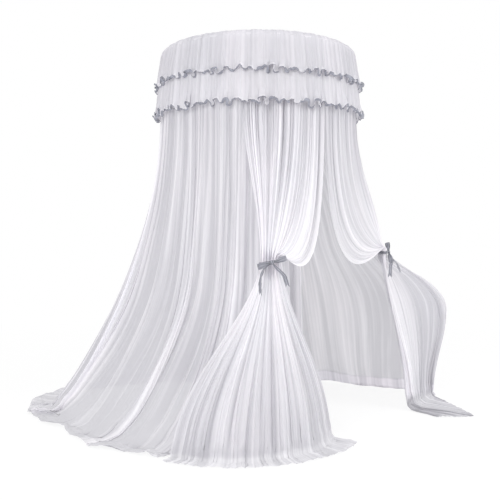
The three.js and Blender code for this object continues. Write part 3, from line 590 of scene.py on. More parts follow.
# %% Wall panels
HEAD_FOLD, SHOULDER_FOLD, DEEP_FOLD = 0.0016, 0.006, 0.024
WALL_STATION_SHARES = (0, 0.14, 0.86, 1)
WALL_PLACES = (0, 1, 1.5, 2, 3)
WALL_MIDDLE_FOLDS = (0.0018, 0.0030, 0.0052, 0.0072, 0.007)
WALL_FINE_FOLDS = (0.0020, 0.0022, 0.0020, 0.0020, 0.0020)
MIDDLE_TO_DEEP, FINE_TO_DEEP = 2.6, 6.2
CROWDS, CROWD_SHARE, CROWD_LIMIT = 1.7, 0.55, 12
CROWD_SPAN, TRAIL_SPAN, LIE_SPAN = (0.3, 2.2), (1.5, 2.2), (1.88, 2.04)
TRAIL_RISE_SPAN, TRAIL_END_SPAN = (0.13, 0.5), (0.62, 0.95)
WALL_LEANS = (0.35, 0.5, 0.5)
WALL_GROWTH_SHARE, WALL_GROWTH_SPAN = 0.25, (1, 1.8)
WALL_EDGE_SHARE, WALL_EDGE_WIDTH = 0.25, 0.06
WALL_ROUNDING, WALL_ROUNDING_SPAN = (0.045, 0.09), (1.3, 1.8)
LYING_FOLD_SHARE = 0.45
FULL_CRUMPLE_WIDTH, LEAST_CRUMPLE_SHARE = 0.12, 0.15
CRUMPLE_SEED, ZONE_SEED = 41, 31
SLOPE_STEP = 1e-3
# The third value paints fold ridges whiter and fold hollows greyer, as painted fold shade.
WALL_LAYERS, CROWDED_LAYERS, WALL_PAINTED_FOLD_SHADE, LYING_THINS = 0.24, 0.6, 0.4, 0.2
ZONE_LAYERS, LAP_LAYERS, LAP_SPAN = 0.16, 0.2, (0.9, 1)


def bunched(u, seed, strength):
    """Moves columns sideways so that they crowd in some places; the edges of the panel stay put."""
    edge = np.sin(math.pi * np.clip(u, 0, 1))
    return u + strength * edge * wander(u * CROWDS, seed) / CROWD_LIMIT


def wall_surface(from_bearing, to_bearing, deep_count, seed, drawn_at, calm=1.0, sweep=0.0):
    """A wide panel: v is 0 at the head, 1 at the shoulder, 2 at the floor and 3 at the hem.

    calm is the share of the finer folds that it keeps. sweep is how far, in degrees, its folds trail round
    towards the wide end of the pool at their foot.
    """
    def bearing_at(u, v):
        crowd = CROWD_SHARE * smooth(v, *CROWD_SPAN)
        trail = smooth(v, *TRAIL_SPAN) * smooth(u, *TRAIL_RISE_SPAN) * (1 - smooth(u, *TRAIL_END_SPAN))
        return mix(from_bearing, to_bearing, bunched(u, seed, crowd)) - sweep * trail

    def base(u, v):
        return drawn_at(bearing_at(u, v), np.clip(v, 0, 3), u)

    def surface(u, share):
        v = np.interp(share, WALL_STATION_SHARES, (0, 1, 2, 3))
        bearing = bearing_at(u, v)
        grown = mix(WALL_GROWTH_SHARE, 1, smooth(v, *WALL_GROWTH_SPAN))
        hanging = DEEP_FOLD * grown * calm_at_edges(u, WALL_EDGE_SHARE, WALL_EDGE_WIDTH)
        deep = np.where(v <= 1, mix(HEAD_FOLD, SHOULDER_FOLD, v), hanging)
        middle = calm * np.interp(v, WALL_PLACES, WALL_MIDDLE_FOLDS)
        fine = calm * np.interp(v, WALL_PLACES, WALL_FINE_FOLDS)
        counts = (deep_count, deep_count * MIDDLE_TO_DEEP, deep_count * FINE_TO_DEEP)
        push, slide = folds(u, v, zip(counts, (deep, middle, fine), WALL_LEANS), seed)
        flat = smooth(v, *LIE_SPAN)
        push = push * mix(1, LYING_FOLD_SHARE, flat)
        reach = deep + middle + fine
        raised = np.maximum(push + flat * reach * LYING_FOLD_SHARE, flat - 1)
        points = softened(base, mix(*WALL_ROUNDING, smooth(v, *WALL_ROUNDING_SPAN)))(u, v)
        points = points + unit(mix(outward_at(bearing), UP, column(flat))) * column(raised)
        points = points + sideways_at(bearing) * column(slide)
        lying_width = HEM_REACH * (table_at(HEM_SHARES, bearing) - table_at(STAND_SHARES, bearing))
        lies = flat * np.clip(lying_width / FULL_CRUMPLE_WIDTH, LEAST_CRUMPLE_SHARE, 1)
        points = crumpled(points, bearing, u * deep_count / 3, v, lies, seed + CRUMPLE_SEED)
        spread = bearing_at(u + SLOPE_STEP, v) - bearing_at(u - SLOPE_STEP, v)
        spacing = spread / (2 * SLOPE_STEP * (to_bearing - from_bearing))
        # Painted fold shade: the ridges of the folds are painted whiter and their hollows greyer.
        layer_shade_value = WALL_LAYERS + CROWDED_LAYERS * (1 - spacing) + WALL_PAINTED_FOLD_SHADE * push / reach
        zones = ZONE_LAYERS * wander(u * 4 + v * 0.12, seed + ZONE_SEED)
        zones = zones + LAP_LAYERS * smooth(u, *LAP_SPAN) - LYING_THINS * flat
        return points, np.clip(layer_shade_value + zones, 0, 1)
    return surface


print("wall folds up to", DEEP_FOLD, "metres deep")

# %% Side curtain
SIDE_LAP_BEARING = -29.0
LAP_INSET = 0.02
LAP_BEFORE, LAP_AFTER = 1, 4
LAP_HEAD_SPAN = (0, 0.6)
SIDE_FOLDS, SIDE_SWEEP = 14, 24.0


def lapped_point(bearing, v, u):
    """The last part of the side curtain hangs inside the tied panel, a little nearer the axis."""
    begun = smooth(bearing, LEFT_SEAM - LAP_BEFORE, LEFT_SEAM + LAP_AFTER)
    inward = LAP_INSET * begun * smooth(v, *LAP_HEAD_SPAN)
    return hanging_point(bearing, v) - outward_at(bearing) * column(inward)


side_surface = wall_surface(REAR_SEAM + SEAM_HALF, SIDE_LAP_BEARING, SIDE_FOLDS, seed=11,
                            drawn_at=lapped_point, sweep=SIDE_SWEEP)
hang_cloth("side_curtain_net", side_surface, (640, 96), (2.7, 2.45), curtain_net, ["side_curtain"])

# %% [markdown]
# ## The drawn seam
# Beside the right tie the back curtain is drawn out to the seam that it shares with the tied panel. Below
# the tie this seam bulges outwards before it comes back to the floor. The two cloths lap a little there.

# %% Back curtain
SEAM_BEARINGS = (
    (0.22, 63), (0.4, 62), (0.5, 59), (0.575, 55.5), (0.605, 55.7), (0.64, 56.1), (0.675, 56.5),
    (0.715, 56.9), (0.76, 57.2), (0.82, 57.6), (0.88, 58.6), (0.94, 59.8), (1, 61))
SEAM_REACH_SHARES = (
    (0.22, 0.383), (0.4, 0.42), (0.5, 0.48), (0.575, 0.545), (0.605, 0.617), (0.64, 0.728), (0.675, 0.805),
    (0.715, 0.86), (0.76, 0.868), (0.82, 0.855), (0.88, 0.836), (0.94, 0.82), (1, 0.838))
SEAM_PULL_SHARE = 0.38
TAIL_AHEAD, BACK_AHEAD = 0.3, 1.1
BACK_INSET = 0.008
SHORT_HEM_SHARE, SHORT_HEM_WIDTH = 0.2, 0.15
BACK_FOLDS, BACK_CALM = 10, 0.6
HEM_BAND_START = 0.835
# The second value paints the back curtain greyer, as shade inside the canopy; the third whitens its seam
# edge, partly doubled cloth and partly painted light.
HEM_GATHERED, BACK_PAINTED_SHADE, BACK_SEAM_AND_LIGHT = 0.8, 0.6, 0.4
SEAM_EDGE_WIDTH = 0.03


def drawn_seam(height, ahead, inset=0.0):
    """The line of the seam; the two cloths lap there, one ahead of it and a little inside the other."""
    drop = np.clip(height / FLOOR_Z, 0, 1)
    bearing = curve_at(SEAM_BEARINGS, drop) - ahead
    return polar(bearing, HEM_REACH * curve_at(SEAM_REACH_SHARES, drop) - inset, height)


def drawn_back_point(bearing, v, u):
    """The edge of the back curtain follows the seam, and the cloth on the floor moves with its foot."""
    foot = hanging_point(bearing, np.minimum(v, 2))
    shortened = (v - 2) * mix(SHORT_HEM_SHARE, 1, smooth(u, 0, SHORT_HEM_WIDTH))
    v = np.where(v > 2, 2 + shortened, v)
    height = foot[..., 2]
    pull = (1 - smooth(u, 0, SEAM_PULL_SHARE)) * smooth(SHOULDER_Z - height, 0, -SHOULDER_Z)
    edge = drawn_seam(height, BACK_AHEAD, BACK_INSET)
    return hanging_point(bearing, v) + (edge - foot) * column(pull)


bare_back_surface = wall_surface(RIGHT_SEAM - 360 + SEAM_HALF, REAR_SEAM - SEAM_HALF, BACK_FOLDS, seed=41,
                                 drawn_at=drawn_back_point, calm=BACK_CALM)


def back_surface(u, share):
    """The back curtain, painted greyer all over as the shade inside the canopy; whiter where its hem is
    turned up, and at the seam, where the doubled cloth is also painted lighter.
    """
    points, layer_shade_value = bare_back_surface(u, share)
    # Painted shade greys the whole back curtain; the seam edge is whiter for its doubled cloth and painted
    # lighter as well.
    single = layer_shade_value * BACK_PAINTED_SHADE + BACK_SEAM_AND_LIGHT * (1 - smooth(u, 0, SEAM_EDGE_WIDTH))
    return points, np.where(share > HEM_BAND_START, HEM_GATHERED, single)


hang_cloth("back_curtain_net", back_surface, (480, 96), (2.2, 2.4), curtain_net, ["back_curtain"])

# %% [markdown]
# ## The hem band of the back curtain
# Seen through the doorway, the foot of the back curtain ends in a whiter band. It is the same net turned
# up and sewn, so it is a second layer that follows the curtain a hair away from it.

# %% Back hem band
HEM_STAND_OFF = 0.0022
LIE_START, LIE_END = 0.03, 0.002


def hem_surface(u, share):
    """The lower part of the back curtain again, pushed out along its own outward direction."""
    points, _ = back_surface(u, mix(HEM_BAND_START, 1.0, share))
    lies = smooth(points[:, 2], CLOTH_FLOOR_Z + LIE_START, CLOTH_FLOOR_Z + LIE_END)
    way = unit(mix(unit(points * LEVEL), UP, column(lies)))
    return points + way * HEM_STAND_OFF, HEM_GATHERED


hang_cloth("back_hem_band", hem_surface, (480, 16), (2.2, 0.13), curtain_net, ["back_hem"])

# %% [markdown]
# ## The tied panels
# The two panels at the doorway are drawn back to one side. Each column of net falls to the shoulder,
# swings in to the tie, passes through the ribbon as one thin pleat of a bundle, and spreads again into a
# tail. The columns at the free edge hang in the deepest curve, which makes the swag over the doorway.
# Each column is one Bezier curve from shoulder to tie, because such a curve leaves and arrives in given
# directions, as a pulled cloth does.

# %% Tails below the ties
LEFT_TIE_BEARING, RIGHT_TIE_BEARING = -47.2, 47.4
LEFT_TIE = polar(LEFT_TIE_BEARING, 0.753, -1.294)
RIGHT_TIE = polar(RIGHT_TIE_BEARING, 0.76, -1.276)
TAIL_LEAVE, TAIL_LAND = 0.28, 0.35
LEFT_LEAVE_SHARE, RIGHT_LEAVE_SHARE = 0.12, 0.05
LEFT_TAIL_BEARINGS, LEFT_HEM_TURN = (-80.0, -12.0), 4
LEFT_FOOT_SHARES, LEFT_HEM_SHARES = (0.595, 0.395), (0.645, 0.5)
RIGHT_TAIL_BEARINGS, RIGHT_FOOT_SHARES = (46.0, 52.0), (0.615, 0.68)
TIP_BEARINGS, TIP_SHARES = (35.0, 42.0), (0.71, 0.86)
SEAM_HEM_BEARING, SEAM_HEM_SHARE = RIGHT_SEAM - 9, 0.825
TIP_SPAN, LOOSE_SPAN, SEAM_JOIN_SPAN = (0, 0.5), (0.45, 1), (0, 0.12)
SLACK_SPAN, SLACK_FALL_SPAN = (0.5, 0.74), (3.0, 3.2)


def cubic(first, second, third, fourth, share):
    share = column(share)
    rest = 1 - share
    return (first * rest**3 + 3 * second * rest**2 * share + 3 * third * rest * share**2
            + fourth * share**3)


def at_height(points, height):
    heights = np.broadcast_to(height, points.shape[:-1])
    return np.concatenate([points[..., :2], column(heights)], axis=-1)


def tail_fall(start, foot, leave_share, v):
    """A column of a tail: it leaves the tie, and lands nearly upright on its foot."""
    leave = at_height(mix(start, foot, leave_share), start[..., 2] - TAIL_LEAVE)
    land = at_height(foot, CLOTH_FLOOR_Z + TAIL_LAND)
    return cubic(start, leave, land, foot, np.clip(v - 3, 0, 1))


def left_tail(u, v, start):
    bearing = mix(*LEFT_TAIL_BEARINGS, u)
    late = u * u
    foot = polar(bearing, HEM_REACH * mix(*LEFT_FOOT_SHARES, late), CLOTH_FLOOR_Z)
    hem = polar(bearing + LEFT_HEM_TURN * late, HEM_REACH * mix(*LEFT_HEM_SHARES, late), CLOTH_FLOOR_Z)
    falling = tail_fall(start, foot, LEFT_LEAVE_SHARE, v)
    return np.where(column(v) > 4, mix(foot, hem, column(v - 4)), falling)


def right_tail(u, v, start):
    """Half of the right tail is a bundle, the other half is drawn out to the seam."""
    foot = polar(mix(*RIGHT_TAIL_BEARINGS, u), HEM_REACH * mix(*RIGHT_FOOT_SHARES, u), CLOTH_FLOOR_Z)
    tip_reach = HEM_REACH * mix(*TIP_SHARES, smooth(u, *TIP_SPAN))
    tip = polar(mix(*TIP_BEARINGS, u * u), tip_reach, CLOTH_FLOOR_Z)
    loose = column(smooth(u, *LOOSE_SPAN))
    seam_foot = drawn_seam(np.full_like(u, CLOTH_FLOOR_Z), TAIL_AHEAD)
    seam_hem = polar(np.full_like(u, SEAM_HEM_BEARING), HEM_REACH * SEAM_HEM_SHARE, CLOTH_FLOOR_Z)
    lying = mix(mix(foot, seam_foot, loose), mix(tip, seam_hem, loose), column(v - 4))
    fall = np.clip(v - 3, 0, 1)
    bundle = tail_fall(start, foot, RIGHT_LEAVE_SHARE, v)
    seam = drawn_seam(mix(start[..., 2], CLOTH_FLOOR_Z, fall), TAIL_AHEAD)
    hanging = mix(bundle, seam, loose * column(smooth(fall, *SEAM_JOIN_SPAN)))
    return np.where(column(v) > 4, lying, hanging)


def no_slack(u, v):
    return 0.0


def right_slack(u, v):
    """The part of the right tail that is stretched out to the seam is one thin layer."""
    return smooth(u, *SLACK_SPAN) * smooth(v, *SLACK_FALL_SPAN)


print("ties at", LEFT_TIE.round(3), "and", RIGHT_TIE.round(3))

# %% A panel drawn to its tie
BUNDLE_HALF_WIDTH, BUNDLE_HALF_DEPTH = 0.055, 0.032
BUNDLE_FILL, BUNDLE_PRESS = 0.94, 0.82
BAND_HEIGHT = 0.024
BAND_CLEARANCE = 0.0012
BAND_PASS = BAND_HEIGHT / 2 + BAND_CLEARANCE
TRAILING_FALL, TRAILING_ARRIVE = 0.22, 0.26
LEADING_OVER_BAND = 0.03
LEAD_POWER = 2.5
TIED_STATION_SHARES = (0, 0.13, 0.5, 0.53, 0.94, 1)
TIED_PLACES = (0, 1, 1.6, 2, 3, 3.3, 4, 5)
TIED_MIDDLE_FOLDS = (0.0022, 0.0042, 0.0048, 0.0013, 0.0013, 0.0032, 0.008, 0.007)
TIED_FINE_FOLDS = (0.0022, 0.0026, 0.0018, 0.0005, 0.0005, 0.0014, 0.0024, 0.0022)
TIED_COUNTS = (9, 24, 58)
TIED_LEANS = (0.3, 0.5, 0.6)
FREE_FOLD, DRAWN_FOLD, LEAVING_FOLD = 0.007, 0.006, 0.004
DRAW_SPAN, GRIP_SPAN, RELEASE_SPAN = (1.3, 1.9), (1.9, 1.99), (3.01, 3.1)
OPEN_SPAN, SETTLE_SPAN, SETTLED_SHARE = (3.1, 3.6), (3.7, 4), 0.5
TIED_EDGE_SHARE, TIED_EDGE_WIDTH = 0.3, 0.08
TIED_DRIFT = 0.05
TIE_PINCH, PINCH_SPAN, UNPINCH_SPAN = 0.85, (1.2, 2), (3, 3.6)
TURN_IN_SPAN, TURN_BACK_SPAN, TAIL_LIE_SPAN = (1, 1.7), (3.3, 4), (3.88, 4.03)
TIED_ROUNDING, TIED_ROUNDING_SPAN = (0.04, 0.1), (3.2, 3.7)
TAIL_CRUMPLE_SHARE = 0.5
DRAWN_LAYERS, DRAWN_SPAN = 0.36, (0.2, 1.9)
# Round the tie the cloth is painted lighter, over the shade of the knot and its deep pleats.
GRIP_PAINTED_LIGHT, GRIP_PLACE, GRIP_WIDTH = 0.3, 2.5, 0.65
SPREAD_SPAN = (3.1, 4.1)
# Fold ridges of the tied panels are painted whiter and their hollows greyer, as painted fold shade.
TIED_PAINTED_FOLD_SHADE, CONTRAST_SPAN = (0.35, 0.15), (2.8, 3.3)
# The stretched sheet gets weaker painted fold shade, and its seam edge is whiter: partly doubled cloth,
# partly painted light.
SLACK_LAYERS, SLACK_PAINTED_FOLD_SHADE, SLACK_SEAM_AND_LIGHT, SLACK_EDGE_SPAN = 0.05, 0.1, 0.5, (0.93, 1)


def tied_surface(panel):
    """A panel drawn to its tie.

    v is 0 at the head, 1 at the shoulder, 2 to 3 in the tie, 4 at the floor and 5 at the hem.
    """
    outward, along = outward_at(panel["tie_bearing"]), sideways_at(panel["tie_bearing"])

    def waist(u, rise):
        across = BUNDLE_HALF_WIDTH * BUNDLE_FILL * (2 * u - 1)
        return panel["tie"] + along * column(across) + UP * rise

    def base(u, v):
        v = np.clip(v, 0, 5)
        bearing = mix(*panel["bearings"], u)
        led = np.abs(u - panel["fixed_edge"]) ** LEAD_POWER
        shoulder = hanging_point(bearing, np.ones_like(u))
        fall = shoulder - UP * column(mix(TRAILING_FALL, panel["lead_fall"], led))
        over_band = waist(u, BAND_PASS) + UP * column(LEADING_OVER_BAND * led)
        arrive = (waist(u, BAND_PASS) + along * column(panel["lead_sweep"] * led)
                  - outward * column(panel["lead_inset"] * led)
                  + UP * column(mix(TRAILING_ARRIVE, panel["lead_arrive"], led)))
        drawn = cubic(shoulder, fall, arrive, over_band, np.clip(v - 1, 0, 1))
        held = mix(over_band, waist(u, -BAND_PASS), column(np.clip(v - 2, 0, 1)))
        free = panel["tail"](u, v, waist(u, -BAND_PASS))
        place = np.where(column(v) <= 1, hanging_point(bearing, np.clip(v, 0, 1)), drawn)
        place = np.where(column(v) > 2, held, place)
        return np.where(column(v) > 3, free, place)

    def deep_fold(u, v):
        """How deep the widest folds are: fine at the head, set by the bundle at the tie, loose below."""
        round_off = np.sqrt(1 - (BUNDLE_FILL * (2 * u - 1)) ** 2)
        bundle = round_off * BUNDLE_HALF_DEPTH * BUNDLE_PRESS
        spread = panel["tail_fold"] * calm_at_edges(u, TIED_EDGE_SHARE, TIED_EDGE_WIDTH)
        drawn = mix(FREE_FOLD, DRAWN_FOLD * round_off, smooth(v, *DRAW_SPAN))
        above = mix(drawn, bundle, smooth(v, *GRIP_SPAN))
        above = np.where(v <= 1, mix(HEAD_FOLD, SHOULDER_FOLD, v), above)
        below = mix(LEAVING_FOLD * round_off, spread, smooth(v, *OPEN_SPAN))
        below = mix(bundle, below, smooth(v, *RELEASE_SPAN))
        below = mix(below, spread * SETTLED_SHARE, smooth(v, *SETTLE_SPAN))
        return np.where(v > 3, below, above)

    def surface(u, share):
        v = np.interp(share, TIED_STATION_SHARES, (0, 1, 2, 3, 4, 5))
        bearing = mix(*panel["bearings"], u)
        deep = deep_fold(u, v)
        middle = np.interp(v, TIED_PLACES, TIED_MIDDLE_FOLDS)
        fine = np.interp(v, TIED_PLACES, TIED_FINE_FOLDS)
        families = zip(TIED_COUNTS, (deep, middle, fine), TIED_LEANS)
        push, slide = folds(u, v, families, panel["seed"], TIED_DRIFT)
        pinch = 1 - TIE_PINCH * smooth(v, *PINCH_SPAN) * (1 - smooth(v, *UNPINCH_SPAN))
        drawn_in = column(smooth(v, *TURN_IN_SPAN) * (1 - smooth(v, *TURN_BACK_SPAN)))
        flat = smooth(v, *TAIL_LIE_SPAN)
        reach = deep + middle + fine
        push = push * mix(1, LYING_FOLD_SHARE, flat) + flat * reach * LYING_FOLD_SHARE
        way = unit(mix(unit(mix(outward_at(bearing), outward, drawn_in)), UP, column(flat)))
        aside = unit(mix(sideways_at(bearing), along, drawn_in))
        points = softened(base, mix(*TIED_ROUNDING, smooth(v, *TIED_ROUNDING_SPAN)))(u, v)
        points = points + way * column(push) + aside * column(slide * pinch)
        points = crumpled(points, bearing, u, v, TAIL_CRUMPLE_SHARE * flat, panel["seed"] + CRUMPLE_SEED)
        ridge = push / reach
        # Painted light round the tie, over the knot's shadow.
        gripped = np.exp(-(((v - GRIP_PLACE) / GRIP_WIDTH) ** 2))
        drawn_layers_and_light = (DRAWN_LAYERS * smooth(v, *DRAWN_SPAN) + GRIP_PAINTED_LIGHT * gripped
                        + panel["tail_layers"] * smooth(v, *SPREAD_SPAN))
        # Painted fold shade: ridges whiter, hollows greyer.
        contrast = mix(*TIED_PAINTED_FOLD_SHADE, smooth(v, *CONTRAST_SPAN))
        layer_shade_value = panel["layers"] + drawn_layers_and_light * (1 - flat) + contrast * ridge - LYING_THINS * flat
        # The seam edge of the stretched sheet: doubled cloth, painted lighter as well.
        seam_and_light = SLACK_SEAM_AND_LIGHT * smooth(u, *SLACK_EDGE_SPAN)
        stretched = SLACK_LAYERS + SLACK_PAINTED_FOLD_SHADE * ridge + seam_and_light
        return points, np.clip(mix(layer_shade_value, stretched, panel["slack"](u, v)), 0, 1)
    return surface


print("folds across a tied panel:", TIED_COUNTS)

# %% Two tied panels
LEFT_PANEL = {
    "bearings": (LEFT_SEAM + SEAM_HALF, DOORWAY - SEAM_HALF), "fixed_edge": 0, "tie": LEFT_TIE,
    "tie_bearing": LEFT_TIE_BEARING, "lead_fall": 0.78, "lead_sweep": 0.16, "lead_inset": 0.07,
    "lead_arrive": -0.15, "tail": left_tail, "tail_fold": 0.013, "slack": no_slack, "layers": 0.3,
    "tail_layers": -0.36, "seed": 71}
RIGHT_PANEL = {
    "bearings": (DOORWAY + SEAM_HALF, RIGHT_SEAM - SEAM_HALF), "fixed_edge": 1, "tie": RIGHT_TIE,
    "tie_bearing": RIGHT_TIE_BEARING, "lead_fall": 0.9, "lead_sweep": -0.26, "lead_inset": 0.27,
    "lead_arrive": -0.175, "tail": right_tail, "tail_fold": 0.006, "slack": right_slack, "layers": 0.12,
    "tail_layers": 0.504, "seed": 97}
for side, panel, flat in (("left", LEFT_PANEL, (1.08, 2.3)), ("right", RIGHT_PANEL, (1.15, 2.4))):
    hang_cloth(f"{side}_panel_net", tied_surface(panel), (420, 120), flat, curtain_net, [f"{side}_panel"])

# %% [markdown]
# ## Roof
# The roof is a shallow cone of net, stretched from the hub over the hoop and turned down into a collar.
# Between two hanging tapes nothing carries it, so it sags there a little, and its gathers run out like
# rays. A cone from the menu would be stiff and smooth, so the roof is a grid too, closed round the axis,
# and its rows follow one line from the hub to the collar.

# %% Roof
TAPE_COUNT = 6
FIRST_TAPE_BEARING = 30.0
ROOF_CENTRE_Z = -0.0656
RIM_TOP_Z = -0.1409
ROOF_LINE = ((0.006, ROOF_CENTRE_Z), (0.036, ROOF_CENTRE_Z), (0.5462, RIM_TOP_Z), (0.5549, RIM_TOP_Z),
             (0.5603, -0.1462), (0.5603, -0.177))
ROOF_SHARES = (0.0, 0.05, 0.86, 0.885, 0.91, 1.0)
CONE_SPAN, COLLAR_SPAN = ROOF_SHARES[1:3], ROOF_SHARES[4:]
ROOF_SAG = 0.010
RAY_COUNT = 96
RAY_DEPTH, COLLAR_RAY_DEPTH = 0.0016, 0.0012
RAY_UNEVEN, RAY_MEAN, RAY_SWING = 0.3, 0.6, 0.4
ROOF_LAYERS, COLLAR_LAYERS = 0.5, 0.2


def roof_surface(u, share):
    bearing = 360 * u
    reaches, heights = np.array(ROOF_LINE).T
    cone_share = np.clip((share - CONE_SPAN[0]) / (CONE_SPAN[1] - CONE_SPAN[0]), 0, 1)
    middle = np.sin(math.pi * cone_share)
    between = np.abs(np.sin(np.radians(TAPE_COUNT / 2 * (bearing - FIRST_TAPE_BEARING))))
    rays = np.cos(FULL_TURN * (RAY_COUNT * u + RAY_UNEVEN * wander(u * 9, 5)))
    rays = rays * (RAY_MEAN + RAY_SWING * wander(u * 14, 6))
    collar = smooth(share, *COLLAR_SPAN)
    reach = np.interp(share, ROOF_SHARES, reaches) + COLLAR_RAY_DEPTH * rays * collar
    sunk = ROOF_SAG * middle * between - RAY_DEPTH * rays * middle
    height = np.interp(share, ROOF_SHARES, heights) - sunk
    return polar(bearing, reach, height), ROOF_LAYERS + COLLAR_LAYERS * collar


hang_cloth("roof_net", roof_surface, (480, 64), (1.22, 1.22), valance_net, ["roof_panel"],
           wraps=True, area=1.17)

# %% [markdown]
# ## Two gathered tiers
# The tiers are strips of net, longer than the hoop's girth, drawn up on a thread at their head. Their
# folds start fine at the head and grow towards the hem. The upper tier hangs over the head of the lower
# one, and its own head is puffed up over the rim of the roof. Both are the same closed grid with other
# numbers, because they are sewn in the same way.

# %% Tiers
GATHERS, MIDDLE_GATHERS, FINE_GATHERS = 35, 92, 210
BROAD_DEPTHS, MIDDLE_DEPTHS, FINE_DEPTHS = (0.0008, 0.005), (0.0008, 0.0032), (0.0009, 0.0012)
MIDDLE_LEAN, FINE_LEAN = 0.6, 0.5
BROAD_UNEVEN = 0.18
TIER_SWELL = 0.004
CAP_SHARES = (0, 0.04, 0.08, 0.13, 0.19, 0.25, 0.31, 0.38, 0.45)
CAP_REACHES = (0.462, 0.470, 0.482, 0.498, 0.515, 0.531, 0.545, 0.557, 0.563)
CAP_HEIGHTS = (-0.1265, -0.1225, -0.119, -0.117, -0.1175, -0.1215, -0.129, -0.141, -0.156)
CAP_PUFF = 1.2
UPPER_TIER = {"level": "upper", "cap": 0.45, "head_reach": 0.563, "flare": 0.025, "head": -0.156,
              "hem": -0.331, "layers": 0.35, "rows": 36, "cut": 0.2, "seed": 211}
LOWER_TIER = {"level": "lower", "cap": 0.0, "head_reach": 0.5603, "flare": 0.030, "head": -0.1773,
              "hem": -0.493, "layers": 0.4, "rows": 40, "cut": 0.34, "seed": 251}
TIER_LENGTH, TIER_COLUMNS = 4.6, 1400
TIER_HEM_LAYERS, TIER_HEM_SPAN, LOOSE_HEM_SPAN = 0.3, (0.965, 0.975), (0.7, 1.0)
HEM_WAVES, HEM_UNEVEN = 64, 0.3
HEM_MEAN, HEM_VARIES, LEAST_HEM, MOST_HEM = 0.75, 0.85, 0.12, 2
HEM_SWING, HEM_ASIDE, HEM_OUT, HEM_WANDER = 0.015, 0.009, 0.007, 0.004
ASIDE_MEAN, ASIDE_VARIES, OUT_LEAD = 0.5, 0.6, 0.6


def hem_wave(turn, seed):
    """The loose waves that a ruffled hem makes: how far it swings up, sideways and out at each place."""
    phase = FULL_TURN * (HEM_WAVES * turn + HEM_UNEVEN * wander(turn * 12, seed + 21))
    strength = np.clip(HEM_MEAN + HEM_VARIES * wander(turn * 15, seed + 22), LEAST_HEM, MOST_HEM)
    swing = HEM_SWING * strength * np.cos(phase) + HEM_WANDER * wander(turn * 9, seed + 23)
    sway = ASIDE_MEAN + ASIDE_VARIES * wander(turn * 11, seed + 24)
    aside = HEM_ASIDE * strength * np.sin(2 * phase) * sway
    return swing, aside, HEM_OUT * strength * np.sin(phase + OUT_LEAD)


def tier_point(tier, turn, share):
    """A point of a tier at a share of the full turn and a share of its length from head to hem."""
    seed = tier["seed"]
    down = np.clip((share - tier["cap"]) / (1 - tier["cap"]), 0, 1)
    broad_phase = FULL_TURN * (GATHERS * turn + BROAD_UNEVEN * wander(turn * 8, seed))
    broad = mix(*BROAD_DEPTHS, down) * np.cos(broad_phase)
    depths = (mix(*MIDDLE_DEPTHS, down), mix(*FINE_DEPTHS, down))
    middle, slide = fold(turn, down * 0.6, MIDDLE_GATHERS, depths[0], seed + 3, MIDDLE_LEAN)
    fine, fine_slide = fold(turn, down * 0.4, FINE_GATHERS, depths[1], seed + 6, FINE_LEAN)
    swell = TIER_SWELL * wander(turn * 5, seed + 9) * down
    swing, aside, out = hem_wave(turn, seed)
    loose = smooth(down, *LOOSE_HEM_SPAN)
    over = share < tier["cap"]
    puffed = np.interp(share, CAP_SHARES, CAP_REACHES) + (broad + middle + fine) * CAP_PUFF
    reach = tier["head_reach"] + tier["flare"] * down + broad + middle + fine + swell + out * loose
    height = mix(tier["head"], tier["hem"], down) + swing * loose
    reach = np.where(over, puffed, reach)
    height = np.where(over, np.interp(share, CAP_SHARES, CAP_HEIGHTS) + broad + middle, height)
    bearing = 360 * turn
    moved = slide + fine_slide + aside * loose
    return polar(bearing, reach, height) + sideways_at(bearing) * column(moved)


def tier_surface(tier):
    def surface(u, share):
        hem = TIER_HEM_LAYERS * smooth(share, *TIER_HEM_SPAN)
        return tier_point(tier, u, share), tier["layers"] + hem
    return surface


for tier in (UPPER_TIER, LOWER_TIER):
    hang_cloth(f"{tier['level']}_tier_net", tier_surface(tier), (TIER_COLUMNS, tier["rows"]),
               (TIER_LENGTH, tier["cut"]), valance_net, [f"{tier['level']}_valance"],
               wraps=True)

# %% [markdown]
# ## Ruffled trims
# A narrow grey-blue ribbon runs round each tier in loose waves. It is sewn on along one edge and its
# other edge stands off, so it looks like a thin line where it is seen on edge and like a thick one where
# it lies over. A painted line would miss this, so the trim is a narrow grid of its own that follows the
# wavy hem of its tier.


# %% Trim material
def solid_material(name, recipe):
    """A material of one Principled shader, whose values recipe works out from the first socket."""
    material, start = new_material(name)
    show(start, start.node("ShaderNodeBsdfPrincipled", values=recipe(start)))
    return material


TRIM_LIGHT = colour(160, 162, 172)
TRIM_DARK = colour(98, 100, 114)
TRIM_WEAVE_SCALE, TRIM_PATCH_SCALE = (420.0, 60.0, 1.0), (26.0, 30.0, 1.0)
TRIM_RELIEF = 0.0015


def trim_recipe(start):
    weave = noise(start, uv_place(start), TRIM_WEAVE_SCALE, 2.0)
    patches = noise(start, uv_place(start), TRIM_PATCH_SCALE, 3.0)
    shade = (weave * 0.7 + patches * 0.9 - 0.3).held()
    return {"Base Color": shade.blend(TRIM_DARK, TRIM_LIGHT), "Roughness": 0.6, "Sheen Weight": 0.2,
            "Alpha": (0.62 + weave * 0.5).held(0.0, 0.97),
            "Normal": relief(start, weave, 0.5, TRIM_RELIEF)}


trim_cloth = solid_material("ruffle_trim", trim_recipe)
print("trim material ready")

# %% Trims
TRIM_WIDTH = 0.017
TRIM_LENGTH = 6.6
TRIM_STAND_OFF = 0.0018
TRIM_SEWN_SHARE = 0.3
TRIM_LIE, TRIM_LIE_SWING = 26, 44
WIDTH_MEAN_SHARE, WIDTH_SWING_SHARE = 0.8, 0.35
RUFFLE_COUNT, RUFFLE_DEPTH, RUFFLE_UNEVEN = 330, 0.0022, 5
TRIM_SEED_STEP = 100
TURN_STEP = 1e-4


